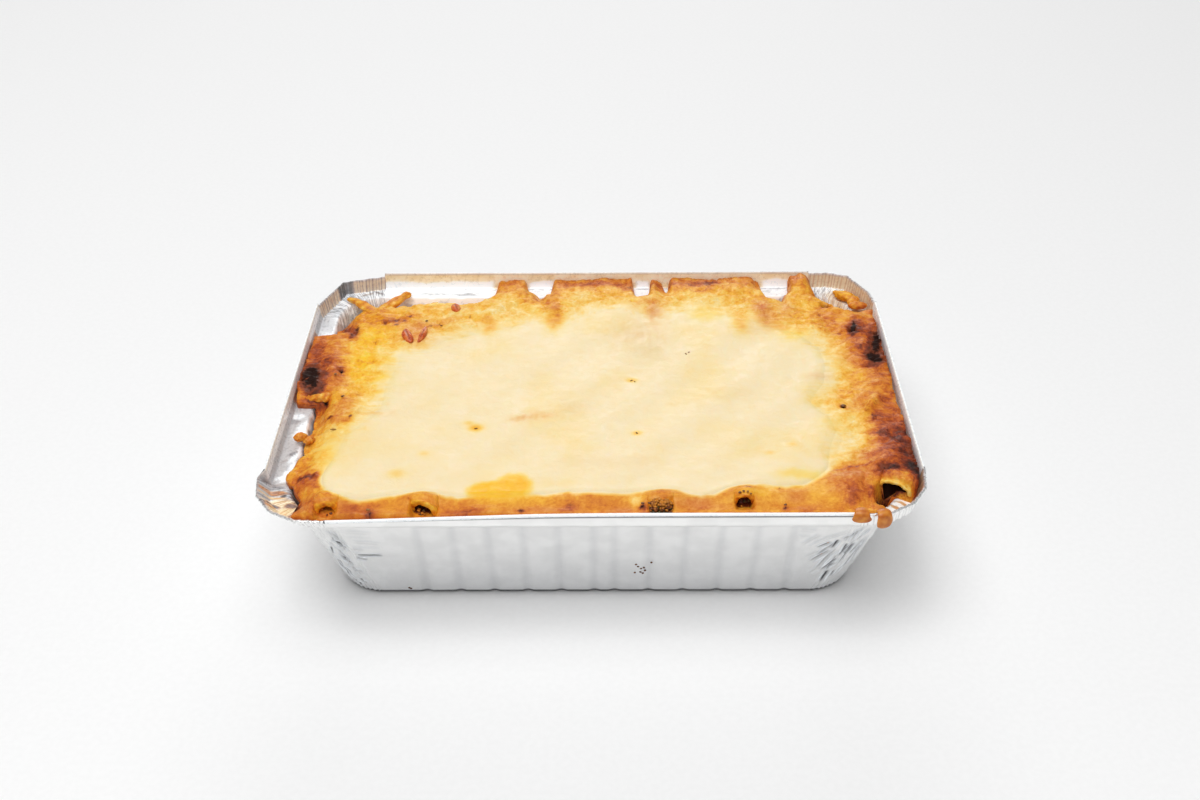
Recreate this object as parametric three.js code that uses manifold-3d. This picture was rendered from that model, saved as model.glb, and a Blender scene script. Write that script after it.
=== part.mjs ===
// A baked lasagna in its pressed aluminium foil tray. Millimetres, +Z up, +X along the tray's
// long side, +Y towards its back. The origin is the middle of the tray's underside.
import * as THREE from "three";
import Module from "manifold-3d";
import { mergeVertices } from "three/addons/utils/BufferGeometryUtils.js";

const wasm = await Module();
wasm.setup();

// Driving dimensions of the tray
const RIM_HALF_X = 111;
const RIM_HALF_Y = 78;
const RIM_Z = 55;
const RIM_CORNER_R = 24;
const FLANGE_LENGTH = 6.8;
const LEDGE_WIDTH = 6.5;
const BASE_HALF_X = 90.7;
const BASE_HALF_Y = 55;
const BASE_CORNER_R = 15.5;
const BASE_FILLET = 1.8;
const BASE_ROUND = { middleIn: 0.5, middleZ: 0.55, topOut: 0.4 };
const FOIL = 0.5;
const HEM_HEIGHT = 1.6;
const HEM_BULGE = 0.9;
const CRIMP_BULGE = 0.25;

// Flutes pressed into the straight walls, by their places along the side, and pleats gathered at
// the corners
const FLUTE_WIDTH = 5;
const FLUTE_DEPTH = 0.7;
const FLUTES_LONG = [-59.8, -47.8, -35.8, -23.9, -12, -0.2, 6.9, 18.9, 31, 43.2, 55.3, 67.3];
const FLUTES_SHORT = [-35.7, -23.8, -11.9, 0, 11.9, 23.8, 35.7];
const PLEATS = 14;
const PLEAT_DEPTH = 0.45;

// The upright flange leans outwards by some degrees, and the front one is bent out at its left end.
// Each corner's flange: lean at its start and end, walked anticlockwise, how much shorter it is,
// and how far the corner is pushed out of round
const FLANGE_LEAN = 3;
const BENT_LEAN = 26;
const BENT_FROM_X = 10;
const CORNER_RIM = {
  frontRight: { lean: [10, 12], shorter: 0.6, push: 1 },
  backRight: { lean: [10, 16], shorter: 0.6, push: 2.2 },
  backLeft: { lean: [14, 20], shorter: 1.2, push: -0.8 },
  frontLeft: { lean: [48, 26], shorter: 1.3, push: 0.8 },
};

// The wall's section, worked out from the dimensions above
const radians = THREE.MathUtils.degToRad;
const LEDGE_Z = RIM_Z - FLANGE_LENGTH;
const FOOT_INSET = FOIL + HEM_BULGE + FLANGE_LENGTH * Math.sin(radians(FLANGE_LEAN));
const WALL_TOP_INSET = FOOT_INSET + LEDGE_WIDTH;
const WALL_TOP_RADIUS = RIM_CORNER_R - WALL_TOP_INSET;
const BASE_INSET = RIM_HALF_Y - BASE_HALF_Y;
const BASE_LONGER = BASE_HALF_X - (RIM_HALF_X - BASE_INSET);

// Driving dimensions of the food: its gaps to the foil, its level and the grid of its surface
const FOOD_GAP = 1.35;
const TOUCH_GAP = 0.35;
const FOOD_FLOOR_Z = FOIL + TOUCH_GAP + 0.2;
const FOOD_FLOOR_IN = 3.2;
const FOOD_LEVEL = 54;
const CRUST_LIP = 1;
const CRUST_ABOVE_LEDGE = [3.8, 4.9];
const FOOD_STATIONS = 144;
const TOP_INSETS = [0, 2.2, 4.8, 8, 11.5, 15.5, 20, 25, 31, 42];
const CHEESE_UNDERSIDE = 51.6;
const CHEESE_RISE = 0.35;
const CHEESE_STATIONS = 84;
const CHEESE_ROWS = [1, 0.93, 0.82, 0.66, 0.45, 0.22];

// The melted cheese's edge, walked round anticlockwise from its front left
const CHEESE_EDGE = [
  [-78, -61], [-40, -62], [2, -62], [35, -62], [62, -59.5], [82, -47], [89, -31], [87, -13],
  [90, 3], [86, 24], [64, 44], [38, 56], [8, 54], [-34, 43], [-56, 27], [-74, 12], [-83, -14],
  [-90, -42],
];

// Rises and dips of the baked surface: middle, reach each way and height
const LUMPS = [
  { x: 0, y: -68.5, rx: 400, ry: 3.6, h: 0.7 },
  { x: 102, y: -10, rx: 6, ry: 60, h: 1.2 },
  { x: 98, y: -52, rx: 12, ry: 14, h: 1.6 },
  { x: -97, y: -56, rx: 9, ry: 8, h: 1.6 },
  { x: -96, y: -16, rx: 6, ry: 5, h: 1.8 },
  { x: -70, y: 33, rx: 7, ry: 5, h: 1.2 },
  { x: -110, y: -24, rx: 9, ry: 9, h: -5 },
  { x: -108, y: -45, rx: 9, ry: 9, h: -6 },
  { x: -72, y: 76, rx: 33, ry: 9, h: -8 },
  { x: -100, y: 68, rx: 13, ry: 13, h: -7 },
  { x: 94, y: 72, rx: 14, ry: 8, h: -6 },
  { x: 103, y: -68, rx: 8, ry: 6, h: -5 },
  { x: -105, y: -66, rx: 10, ry: 7, h: -5 },
  { x: 0, y: 76, rx: 400, ry: 6, h: -1.2 },
];
const KNOBS = { count: 34, edge: 3, depth: 17, smallest: 2.6, largest: 5.5, height: 1.3 };
const BAKED_DARK = { fromX: 80, taller: 1.3, elsewhere: 0.7 };

// Curled noodle ends, open towards the tray's front, with the crust arched over them: middle of the
// opening, direction it faces in degrees, width, height and sideways tilt
const NOODLE_THICK = 1.1;
const NOODLE_DEPTH = 6.2;
const NOODLE_ENDS = [
  { x: -87.5, y: -72, z: 50.4, facing: -90, width: 8.6, height: 4.6, tilt: 0 },
  { x: -55.4, y: -72, z: 50.4, facing: -90, width: 10.4, height: 5.2, tilt: -12 },
  { x: 22.2, y: -71.4, z: 50.6, facing: -90, width: 9.2, height: 4.6, tilt: 0 },
  { x: 49.6, y: -70.2, z: 50.6, facing: -90, width: 7.6, height: 4.6, tilt: 0 },
  { x: 100, y: -61.8, z: 51.3, facing: -112, width: 11.2, height: 3.4, tilt: 10 },
];
const ARCH_STEPS = 14;
const ARCH_RISE = 2.2;
const POCKET_AHEAD = 7;

// Pieces that lie in or over the crust
const TOMATO_PIECES = [
  { x: -72.1, y: 29.9, rx: 2.2, ry: 3.6, rz: 1.8, turn: 35 },
  { x: -65.8, y: 30.9, rx: 1.8, ry: 4, rz: 1.8, turn: -15 },
  { x: -55.4, y: 50.8, rx: 1.8, ry: 2.6, rz: 1.7, turn: 25 },
];
const STRANDS = [
  { from: [-84, 57.5, 49.5], to: [-76.6, 69.2, 49.8], radius: 1.2 },
  { from: [-89.5, 54, 48.5], to: [-98.6, 64.6, 49.8], radius: 1.3 },
  { from: [-97, -12, 51.5], to: [-107, -10, 50.4], radius: 1.3 },
  { from: [-97, -33, 50], to: [-105.6, -32, 50], radius: 1.5 },
];
const DRIPS = [
  { angle: -91, rimR: 24.4, rimZ: 55, hang: 2.6, width: 5.6 },
  { angle: -74.5, rimR: 25.1, rimZ: 54.5, hang: 4.6, width: 5.2 },
];

const DRIP_SIDES = 12;
const DRIP_THICK = 0.9;

// Colours and finishes
const ALUMINIUM = { color: 0xc9cbcd, roughness: 0.3, metalness: 1 };
const CRUST = { color: 0xcf7a2c, roughness: 0.45, metalness: 0 };
const CHEESE = { color: 0xf3dfa8, roughness: 0.4, metalness: 0 };
const PASTA = { color: 0xdd9a3a, roughness: 0.5, metalness: 0 };
const TOMATO = { color: 0xb23a1c, roughness: 0.4, metalness: 0 };
const SAUCE = { color: 0xc8741f, roughness: 0.3, metalness: 0 };

function smoothstep(low, high, value) {
  const t = THREE.MathUtils.clamp((value - low) / (high - low), 0, 1);
  return t * t * (3 - 2 * t);
}

// A repeatable random draw between 0 and 1
function seededRandom(seed) {
  let state = seed;
  return () => {
    state = (state * 1664525 + 1013904223) % 4294967296;
    return state / 4294967296;
  };
}

// Solids and geometries

function solidOf(geometry) {
  const bare = geometry.clone();
  bare.deleteAttribute("normal");
  bare.deleteAttribute("uv");
  const merged = mergeVertices(bare, 1e-4);
  return new wasm.Manifold(
    new wasm.Mesh({
      numProp: 3,
      vertProperties: new Float32Array(merged.attributes.position.array),
      triVerts: new Uint32Array(merged.index.array),
    }),
  );
}

function geometryOf(solid) {
  const mesh = solid.getMesh();
  const geometry = new THREE.BufferGeometry();
  geometry.setAttribute("position", new THREE.BufferAttribute(mesh.vertProperties, 3));
  geometry.setIndex(new THREE.BufferAttribute(mesh.triVerts, 1));
  geometry.computeVertexNormals();
  return geometry;
}

// Closed rows of points, all of one length, skinned in order and capped at both ends.
// Rows run anticlockwise seen from above, first the outside from the bottom up, then the inside.
function skin(rows, firstCap, lastCap) {
  const count = rows[0].length;
  const positions = rows.flat().concat([firstCap, lastCap]).flat();
  const triangles = [];
  for (let r = 0; r + 1 < rows.length; r++) {
    for (let i = 0; i < count; i++) {
      const j = (i + 1) % count;
      const [a, b] = [r * count + i, r * count + j];
      const [c, d] = [a + count, b + count];
      triangles.push(a, b, d, a, d, c);
    }
  }
  const first = rows.length * count;
  const lastRow = (rows.length - 1) * count;
  for (let i = 0; i < count; i++) {
    const j = (i + 1) % count;
    triangles.push(first, j, i);
    triangles.push(lastRow + i, lastRow + j, first + 1);
  }
  const geometry = new THREE.BufferGeometry();
  geometry.setAttribute("position", new THREE.Float32BufferAttribute(positions, 3));
  geometry.setIndex(triangles);
  geometry.computeVertexNormals();
  return geometry;
}

// The tray's plan

// Side and corner names in the order they are walked, anticlockwise from the front's left end
const SIDES = [
  { name: "front", corner: "frontRight", normal: -90, flutes: FLUTES_LONG },
  { name: "right", corner: "backRight", normal: 0, flutes: FLUTES_SHORT },
  { name: "back", corner: "backLeft", normal: 90, flutes: FLUTES_LONG },
  { name: "left", corner: "frontLeft", normal: 180, flutes: FLUTES_SHORT },
];

// The stations round the tray: three for each flute, and one for each side of a corner pleat
function trayStations() {
  const stations = [];
  for (const side of SIDES) {
    for (const middle of side.flutes) {
      for (const step of [-0.5, 0, 0.5]) {
        const along = middle + step * FLUTE_WIDTH;
        stations.push({ side, along, flute: step === 0 ? 1 : 0, pleat: 0 });
      }
    }
    for (let k = 0; k <= PLEATS; k++) {
      const end = k === 0 || k === PLEATS;
      const pleat = end ? 0 : k % 2 ? 1 : -1;
      stations.push({ side, corner: side.corner, turn: k / PLEATS, flute: 0, pleat });
    }
  }
  return stations;
}

// The point and outward direction of a station on a rounded rectangle
function planPoint(station, halfX, halfY, radius) {
  const [ex, ey] = [halfX - radius, halfY - radius];
  if (station.corner) {
    const angle = radians(station.side.normal + 90 * station.turn);
    const middle = {
      frontRight: [ex, -ey],
      backRight: [ex, ey],
      backLeft: [-ex, ey],
      frontLeft: [-ex, -ey],
    }[station.corner];
    const normal = [Math.cos(angle), Math.sin(angle)];
    return { x: middle[0] + radius * normal[0], y: middle[1] + radius * normal[1], normal };
  }
  const [x, y] = {
    front: [station.along, -halfY],
    right: [halfX, station.along],
    back: [-station.along, halfY],
    left: [-halfX, -station.along],
  }[station.side.name];
  const angle = radians(station.side.normal);
  return { x, y, normal: [Math.round(Math.cos(angle)), Math.round(Math.sin(angle))] };
}

// How the upright flange stands at a station
function rimAt(station, x) {
  if (station.corner && station.turn > 0 && station.turn < 1) {
    const { lean, shorter, push } = CORNER_RIM[station.corner];
    return {
      lean: THREE.MathUtils.lerp(lean[0], lean[1], station.turn),
      shorter,
      push: push * Math.sin(Math.PI * station.turn),
      bulge: CRIMP_BULGE,
    };
  }
  const frontCorner = station.corner === "frontLeft" && station.turn === 1;
  const bent = frontCorner || (station.side.name === "front" && x < BENT_FROM_X);
  const share = bent ? smoothstep(BENT_FROM_X, -RIM_HALF_X, x) : 0;
  const lean = THREE.MathUtils.lerp(FLANGE_LEAN, BENT_LEAN, share);
  return { lean, shorter: 0, push: 0, bulge: HEM_BULGE };
}

// A row of the tray's wall: how far it is drawn in from the rim and how much less of that at the
// short sides, corner radius and height, with its share of the flutes, the pleats and the push
function wallRow(stations, { inset, longer = 0, z, radius, flutes = 0, pleats = 0, corners = 0 }) {
  const [halfX, halfY] = [RIM_HALF_X - inset + longer, RIM_HALF_Y - inset];
  return stations.map((station) => {
    const { x, y, normal } = planPoint(station, halfX, halfY, radius);
    const relief = pleats * PLEAT_DEPTH * station.pleat - flutes * FLUTE_DEPTH * station.flute;
    const push = relief + corners * rimAt(station, x).push;
    return [x + push * normal[0], y + push * normal[1], z];
  });
}

// A row of the upright flange's hem: up is the share of the hem's height, out the share of the foil's
// thickness and hem the share of its bulge
function flangeRow(stations, { up, out, hem = 0 }) {
  const [halfX, halfY] = [RIM_HALF_X - FOOT_INSET, RIM_HALF_Y - FOOT_INSET];
  return stations.map((station) => {
    const foot = planPoint(station, halfX, halfY, RIM_CORNER_R - FOOT_INSET);
    const rim = rimAt(station, foot.x);
    const along = FLANGE_LENGTH - rim.shorter - (1 - up) * HEM_HEIGHT;
    const across = out * FOIL + hem * rim.bulge + PLEAT_DEPTH * station.pleat;
    const lean = radians(rim.lean);
    const push = along * Math.sin(lean) + across * Math.cos(lean) + rim.push;
    const z = LEDGE_Z + along * Math.cos(lean) - (across - FOIL / 2) * Math.sin(lean);
    return [foot.x + push * foot.normal[0], foot.y + push * foot.normal[1], z];
  });
}

// The wall's outer face, or its inner face when drawn in by the foil's thickness, from the floor up
function wallSection(drawnIn) {
  const ledgeZ = LEDGE_Z - FOIL + drawnIn;
  return [
    {
      inset: BASE_INSET + BASE_FILLET + drawnIn,
      longer: BASE_LONGER,
      z: drawnIn,
      radius: BASE_CORNER_R - BASE_FILLET - drawnIn,
      flutes: 0.6,
    },
    {
      inset: BASE_INSET + BASE_ROUND.middleIn + drawnIn,
      longer: BASE_LONGER,
      z: BASE_ROUND.middleZ + drawnIn,
      radius: BASE_CORNER_R - BASE_ROUND.middleIn - drawnIn,
      flutes: 1,
      pleats: 0.5,
    },
    {
      inset: BASE_INSET - BASE_ROUND.topOut + drawnIn,
      longer: BASE_LONGER,
      z: BASE_FILLET,
      radius: BASE_CORNER_R - drawnIn,
      flutes: 1,
      pleats: 1,
    },
    {
      inset: WALL_TOP_INSET - FOIL + drawnIn,
      z: ledgeZ,
      radius: WALL_TOP_RADIUS + FOIL - drawnIn,
      flutes: 0.7,
      pleats: 0.8,
    },
    {
      inset: FOOT_INSET - FOIL + drawnIn,
      z: ledgeZ,
      radius: RIM_CORNER_R - FOOT_INSET + FOIL - drawnIn,
      pleats: 1,
      corners: 1,
    },
  ];
}

function foilTray() {
  const stations = trayStations();
  const outside = wallSection(0).map((row) => wallRow(stations, row));
  const flange = [
    { up: 0, out: 1 },
    { up: 0.08, out: 1, hem: 1 },
    { up: 0.8, out: 1, hem: 0.9 },
    { up: 1, out: 0.6, hem: 0.2 },
    { up: 0.85, out: 0 },
  ].map((row) => flangeRow(stations, row));
  const inside = wallSection(FOIL).map((row) => wallRow(stations, row)).reverse();
  return skin([...outside, ...flange, ...inside], [0, 0, 0], [0, 0, FOIL]);
}

// The food's surface

// Small knobs of crust along the edge, more of them on the right where it baked darkest
function crustKnobs() {
  const random = seededRandom(11);
  const knobs = [];
  for (let k = 0; k < KNOBS.count; k++) {
    const turn = (k + 0.7 * random()) / KNOBS.count;
    const spot = foodPlan(turn, WALL_TOP_INSET + KNOBS.edge + KNOBS.depth * random() ** 2);
    const size = THREE.MathUtils.lerp(KNOBS.smallest, KNOBS.largest, random());
    const sign = random() < 0.3 ? -0.8 : 1;
    const strength = spot.x > BAKED_DARK.fromX ? BAKED_DARK.taller : BAKED_DARK.elsewhere;
    const height = KNOBS.height * (0.5 + 0.5 * random()) * sign * strength;
    knobs.push({ x: spot.x, y: spot.y, rx: size, ry: size * (0.7 + 0.6 * random()), h: height });
  }
  return knobs;
}

// The rises where the crust runs over the noodle ends
function noodleArches() {
  return NOODLE_ENDS.map(({ x, y, facing, width }) => {
    const angle = radians(facing);
    const back = 0.6 * NOODLE_DEPTH;
    const middle = { x: x - back * Math.cos(angle), y: y - back * Math.sin(angle) };
    return { ...middle, rx: 0.72 * width, ry: 5, h: ARCH_RISE };
  });
}

// A point of the tray's rounded outline, drawn in by an inset, at a share of the way round
function foodPlan(turn, inset, radius = WALL_TOP_RADIUS - FOOD_GAP, longer = 0) {
  const [halfX, halfY] = [RIM_HALF_X - inset + longer, RIM_HALF_Y - inset];
  const [ex, ey] = [halfX - radius, halfY - radius];
  const quarter = (Math.PI / 2) * radius;
  const lengths = [2 * ex, quarter, 2 * ey, quarter, 2 * ex, quarter, 2 * ey, quarter];
  let left = turn * lengths.reduce((sum, length) => sum + length, 0);
  let piece = 0;
  while (piece < 7 && left > lengths[piece]) left -= lengths[piece++];
  const side = SIDES[piece >> 1];
  const station =
    piece % 2
      ? { side, corner: side.corner, turn: left / lengths[piece] }
      : { side, along: left - lengths[piece] / 2 };
  return planPoint(station, halfX, halfY, radius);
}

const SURFACE_LUMPS = [...LUMPS, ...crustKnobs(), ...noodleArches()];

function lumpHeight(lump, x, y) {
  const distance = ((x - lump.x) / lump.rx) ** 2 + ((y - lump.y) / lump.ry) ** 2;
  return lump.h * Math.exp(-distance);
}

// Height of the baked surface over the tray's underside
function surfaceZ(x, y) {
  const waves =
    0.35 * Math.sin(x * 0.11 + 1.3) * Math.cos(y * 0.13 + 0.4) +
    0.25 * Math.sin(x * 0.23 - y * 0.19 + 2);
  return SURFACE_LUMPS.reduce((z, lump) => z + lumpHeight(lump, x, y), FOOD_LEVEL + waves);
}

// How far the crust reaches over the ledge where the food stands well above it
function crustReach(turn, level) {
  const [low, high] = CRUST_ABOVE_LEDGE;
  const above = smoothstep(LEDGE_Z + low, LEDGE_Z + high, level);
  const ragged = 0.8 + 0.2 * Math.sin(turn * 2 * Math.PI * 17 + 3 * Math.sin(turn * 40));
  return above * ragged * (LEDGE_WIDTH - PLEAT_DEPTH - TOUCH_GAP);
}

// The food's outline against the tray's sloping wall, at a height
function wallPlan(turn, z, extra = 0) {
  const share = (z - BASE_FILLET) / (LEDGE_Z - BASE_FILLET);
  const baseInset = BASE_INSET - BASE_ROUND.topOut + FOIL;
  const inset = THREE.MathUtils.lerp(baseInset, WALL_TOP_INSET, share);
  const radius = THREE.MathUtils.lerp(BASE_CORNER_R - FOIL, WALL_TOP_RADIUS, share);
  const longer = THREE.MathUtils.lerp(BASE_LONGER, 0, share);
  return foodPlan(turn, inset + FOOD_GAP + extra, radius - FOOD_GAP - extra, longer);
}

// The food without its toppings and pockets: down the wall to the tray's floor, and over the ledge
function foodBlock() {
  const edge = Array.from({ length: FOOD_STATIONS }, (_, k) => {
    const turn = k / FOOD_STATIONS;
    const wall = foodPlan(turn, WALL_TOP_INSET + FOOD_GAP);
    return { turn, wall, level: surfaceZ(wall.x, wall.y) };
  });
  const levelAt = (k) => edge[(k + FOOD_STATIONS) % FOOD_STATIONS].level;
  edge.forEach((e, k) => {
    e.reach = crustReach(e.turn, Math.min(levelAt(k - 1), e.level, levelAt(k + 1)));
    e.wallTop = Math.min(LEDGE_Z + TOUCH_GAP, e.level - 2 * CRUST_LIP);
  });
  const againstWall = (zOf, extra = 0) =>
    edge.map((e) => {
      const { x, y } = wallPlan(e.turn, zOf(e), extra);
      return [x, y, zOf(e)];
    });
  const lip = edge.map((e) => {
    const z = e.wallTop + 0.1 * CRUST_LIP;
    if (e.reach === 0) {
      const { x, y } = wallPlan(e.turn, z, 0.05);
      return [x, y, z];
    }
    const out = e.reach + FOOD_GAP;
    return [e.wall.x + out * e.wall.normal[0], e.wall.y + out * e.wall.normal[1], z];
  });
  const topRow = (inset) =>
    lip.map(([lipX, lipY, lipZ]) => {
      const x = lipX * (1 - inset / RIM_HALF_X);
      const y = lipY * (1 - inset / RIM_HALF_Y);
      const z = surfaceZ(x, y);
      if (inset > 0) return [x, y, z];
      return [0.999 * x, 0.999 * y, Math.max(lipZ + 0.4 * CRUST_LIP, z - CRUST_LIP)];
    });
  const rows = [
    againstWall(() => FOOD_FLOOR_Z, FOOD_FLOOR_IN),
    againstWall(() => BASE_FILLET + 1),
    againstWall((e) => e.wallTop),
    lip,
    ...TOP_INSETS.map(topRow),
  ];
  return skin(rows, [0, 0, FOOD_FLOOR_Z], [0, 0, surfaceZ(0, 0)]);
}

// The cheese's outline at a growth in millimetres, as evenly spaced points
function cheeseOutline(growth) {
  const points = CHEESE_EDGE.map(([x, y]) => new THREE.Vector3(x, y, 0));
  const curve = new THREE.CatmullRomCurve3(points, true, "centripetal");
  return curve.getSpacedPoints(CHEESE_STATIONS).slice(0, CHEESE_STATIONS).map((p) => {
    const ragged = 0.9 * Math.sin(p.x * 0.35) * Math.cos(p.y * 0.4);
    const length = Math.hypot(p.x, p.y);
    const scale = 1 + (growth + ragged) / length;
    return [p.x * scale, p.y * scale];
  });
}

function cheesePocket() {
  const outline = cheeseOutline(TOUCH_GAP);
  const bottom = outline.map(([x, y]) => [x, y, CHEESE_UNDERSIDE - TOUCH_GAP]);
  const top = outline.map(([x, y]) => [x, y, RIM_Z + 20]);
  return skin([bottom, top], [0, 0, CHEESE_UNDERSIDE - TOUCH_GAP], [0, 0, RIM_Z + 20]);
}

function meltedCheese() {
  const outline = cheeseOutline(0);
  const underside = [0.5, 1].map((share) =>
    outline.map(([x, y]) => [x * share, y * share, CHEESE_UNDERSIDE]),
  );
  const top = CHEESE_ROWS.map((share) =>
    outline.map(([x, y]) => {
      const rise = share === 1 ? 0 : CHEESE_RISE;
      return [x * share, y * share, surfaceZ(x * share, y * share) + rise];
    }),
  );
  const rows = [...underside, ...top];
  return skin(rows, [0, 0, CHEESE_UNDERSIDE], [0, 0, surfaceZ(0, 0) + CHEESE_RISE]);
}

// Pieces in the crust

// Half an ellipse standing on its straight side, as large as a noodle end and grown by some margin
function archPoints({ width, height }, grow) {
  return Array.from({ length: ARCH_STEPS + 1 }, (_, k) => {
    const angle = (Math.PI * k) / ARCH_STEPS;
    return new THREE.Vector2(
      (width / 2 + grow) * Math.cos(angle),
      (height + grow) * Math.sin(angle),
    );
  });
}

// Stands an extruded outline upright at a noodle end's place, from so far before its front
function standAt(geometry, end, depth, before) {
  geometry.rotateX(Math.PI / 2);
  geometry.translate(0, depth - before, 0);
  geometry.rotateY(radians(end.tilt));
  geometry.rotateZ(radians(end.facing + 90));
  return geometry.translate(end.x, end.y, end.z);
}

function noodleEnd(end) {
  const outer = archPoints(end, 0);
  const inner = archPoints(end, -NOODLE_THICK).reverse();
  const shape = new THREE.Shape([...outer, ...inner]);
  const geometry = new THREE.ExtrudeGeometry(shape, { depth: NOODLE_DEPTH, bevelEnabled: false });
  return standAt(geometry, end, NOODLE_DEPTH, 0);
}

// The space that a noodle end takes, open at the front
function noodlePocket(end) {
  const roof = archPoints(end, TOUCH_GAP);
  const floor = [
    new THREE.Vector2(-end.width / 2 - TOUCH_GAP, -TOUCH_GAP),
    new THREE.Vector2(end.width / 2 + TOUCH_GAP, -TOUCH_GAP),
  ];
  const depth = NOODLE_DEPTH + POCKET_AHEAD + TOUCH_GAP;
  const shape = new THREE.Shape([...roof, ...floor]);
  const geometry = new THREE.ExtrudeGeometry(shape, { depth, bevelEnabled: false });
  return standAt(geometry, end, depth, POCKET_AHEAD);
}

// An uneven rounded lump
function lump(piece, grow, seed) {
  const random = seededRandom(seed);
  const geometry = mergeVertices(bareSphere(1));
  const position = geometry.attributes.position;
  for (let i = 0; i < position.count; i++) {
    const swell = 1 + 0.12 * (random() - 0.5);
    position.setXYZ(
      i,
      position.getX(i) * (piece.rx * swell + grow),
      position.getY(i) * (piece.ry * swell + grow),
      position.getZ(i) * (piece.rz * swell + grow),
    );
  }
  geometry.rotateZ(radians(piece.turn));
  geometry.translate(piece.x, piece.y, surfaceZ(piece.x, piece.y) + 0.2);
  return geometry;
}

function bareSphere(detail) {
  const sphere = new THREE.IcosahedronGeometry(1, detail);
  sphere.deleteAttribute("normal");
  sphere.deleteAttribute("uv");
  return sphere;
}

// A strand of crisp cheese that bridges the food and the foil
function strand({ from, to, radius }) {
  const [start, end] = [new THREE.Vector3(...from), new THREE.Vector3(...to)];
  const geometry = new THREE.CapsuleGeometry(radius, start.distanceTo(end), 3, 8);
  const direction = end.clone().sub(start).normalize();
  const turn = new THREE.Quaternion().setFromUnitVectors(new THREE.Vector3(0, 1, 0), direction);
  geometry.applyQuaternion(turn);
  geometry.translate((from[0] + to[0]) / 2, (from[1] + to[1]) / 2, (from[2] + to[2]) / 2);
  return geometry;
}

// A drop of sauce baked on over the rim at the front right corner, hanging down outside it
function sauceDrip({ angle, rimR, rimZ, hang, width }) {
  const clear = TOUCH_GAP + DRIP_THICK;
  const path = [
    { r: rimR - 3, z: rimZ + clear - 0.1, wide: 0.3, thick: 0.5 },
    { r: rimR - 1.3, z: rimZ + clear + 0.1, wide: 0.55, thick: 0.75 },
    { r: rimR + 0.4, z: rimZ + clear - 0.1, wide: 0.7, thick: 0.8 },
    { r: rimR + clear, z: rimZ, wide: 0.85, thick: 0.8 },
    { r: rimR + clear, z: rimZ - 0.5 * hang, wide: 1, thick: 0.85 },
    { r: rimR + clear - 0.1, z: rimZ - 0.85 * hang, wide: 0.75, thick: 0.7 },
    { r: rimR + clear - 0.2, z: rimZ - hang, wide: 0.3, thick: 0.35 },
  ];
  const [centreX, centreY] = [RIM_HALF_X - RIM_CORNER_R, -(RIM_HALF_Y - RIM_CORNER_R)];
  const away = [Math.cos(radians(angle)), Math.sin(radians(angle))];
  const place = (r, side, z) => [
    centreX + r * away[0] - side * away[1],
    centreY + r * away[1] + side * away[0],
    z,
  ];
  const rows = path.map(({ r, z, wide, thick }, k) => {
    const before = path[Math.max(k - 1, 0)];
    const after = path[Math.min(k + 1, path.length - 1)];
    const heading = Math.atan2(after.z - before.z, after.r - before.r);
    return Array.from({ length: DRIP_SIDES }, (_, i) => {
      const turn = (2 * Math.PI * i) / DRIP_SIDES;
      const side = (width / 2) * wide * Math.cos(turn);
      const lift = thick * Math.sin(turn);
      return place(r - lift * Math.sin(heading), side, z + lift * Math.cos(heading));
    });
  });
  const [first, last] = [path[0], path[path.length - 1]];
  return skin(rows, place(first.r, 0, first.z), place(last.r, 0, last.z));
}

// The whole object

function lasagna() {
  let solid = solidOf(foodBlock());
  for (const piece of STRANDS) solid = solid.add(solidOf(strand(piece)));
  solid = solid.subtract(solidOf(cheesePocket()));
  for (const end of NOODLE_ENDS) solid = solid.subtract(solidOf(noodlePocket(end)));
  TOMATO_PIECES.forEach((piece, k) => {
    solid = solid.subtract(solidOf(lump(piece, TOUCH_GAP, k + 1)));
  });
  const bodies = solid.decompose().sort((a, b) => b.volume() - a.volume());
  return geometryOf(bodies[0]);
}

function cheeseAroundPieces() {
  let solid = solidOf(meltedCheese());
  TOMATO_PIECES.forEach((piece, k) => {
    solid = solid.subtract(solidOf(lump(piece, TOUCH_GAP, k + 1)));
  });
  return geometryOf(solid);
}

const group = new THREE.Group();

function add(name, geometry, material) {
  const mesh = new THREE.Mesh(geometry, new THREE.MeshStandardMaterial(material));
  mesh.name = name;
  group.add(mesh);
}

add("foil_tray", foilTray(), ALUMINIUM);
add("lasagna", lasagna(), CRUST);
add("melted_cheese", cheeseAroundPieces(), CHEESE);
NOODLE_ENDS.forEach((end, k) => add(`noodle_end_${k + 1}`, noodleEnd(end), PASTA));
TOMATO_PIECES.forEach((piece, k) => add(`tomato_piece_${k + 1}`, lump(piece, 0, k + 1), TOMATO));
DRIPS.forEach((drip, k) => add(`sauce_drip_${k + 1}`, sauceDrip(drip), SAUCE));

export default group;
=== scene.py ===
import bpy
import numpy as np
from mathutils import Matrix


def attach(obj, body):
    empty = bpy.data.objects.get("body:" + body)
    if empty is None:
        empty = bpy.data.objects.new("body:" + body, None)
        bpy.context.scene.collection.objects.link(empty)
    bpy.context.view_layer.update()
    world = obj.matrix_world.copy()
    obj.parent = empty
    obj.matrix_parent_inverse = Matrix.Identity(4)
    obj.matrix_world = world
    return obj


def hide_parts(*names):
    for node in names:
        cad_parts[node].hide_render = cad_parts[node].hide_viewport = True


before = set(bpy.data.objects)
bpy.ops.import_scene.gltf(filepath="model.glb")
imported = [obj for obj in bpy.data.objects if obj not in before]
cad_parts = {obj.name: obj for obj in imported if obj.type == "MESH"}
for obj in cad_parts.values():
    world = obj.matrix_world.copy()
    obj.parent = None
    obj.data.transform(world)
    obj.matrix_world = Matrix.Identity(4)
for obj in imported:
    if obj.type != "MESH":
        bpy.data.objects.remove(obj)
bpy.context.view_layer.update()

MM = 0.001

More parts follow.
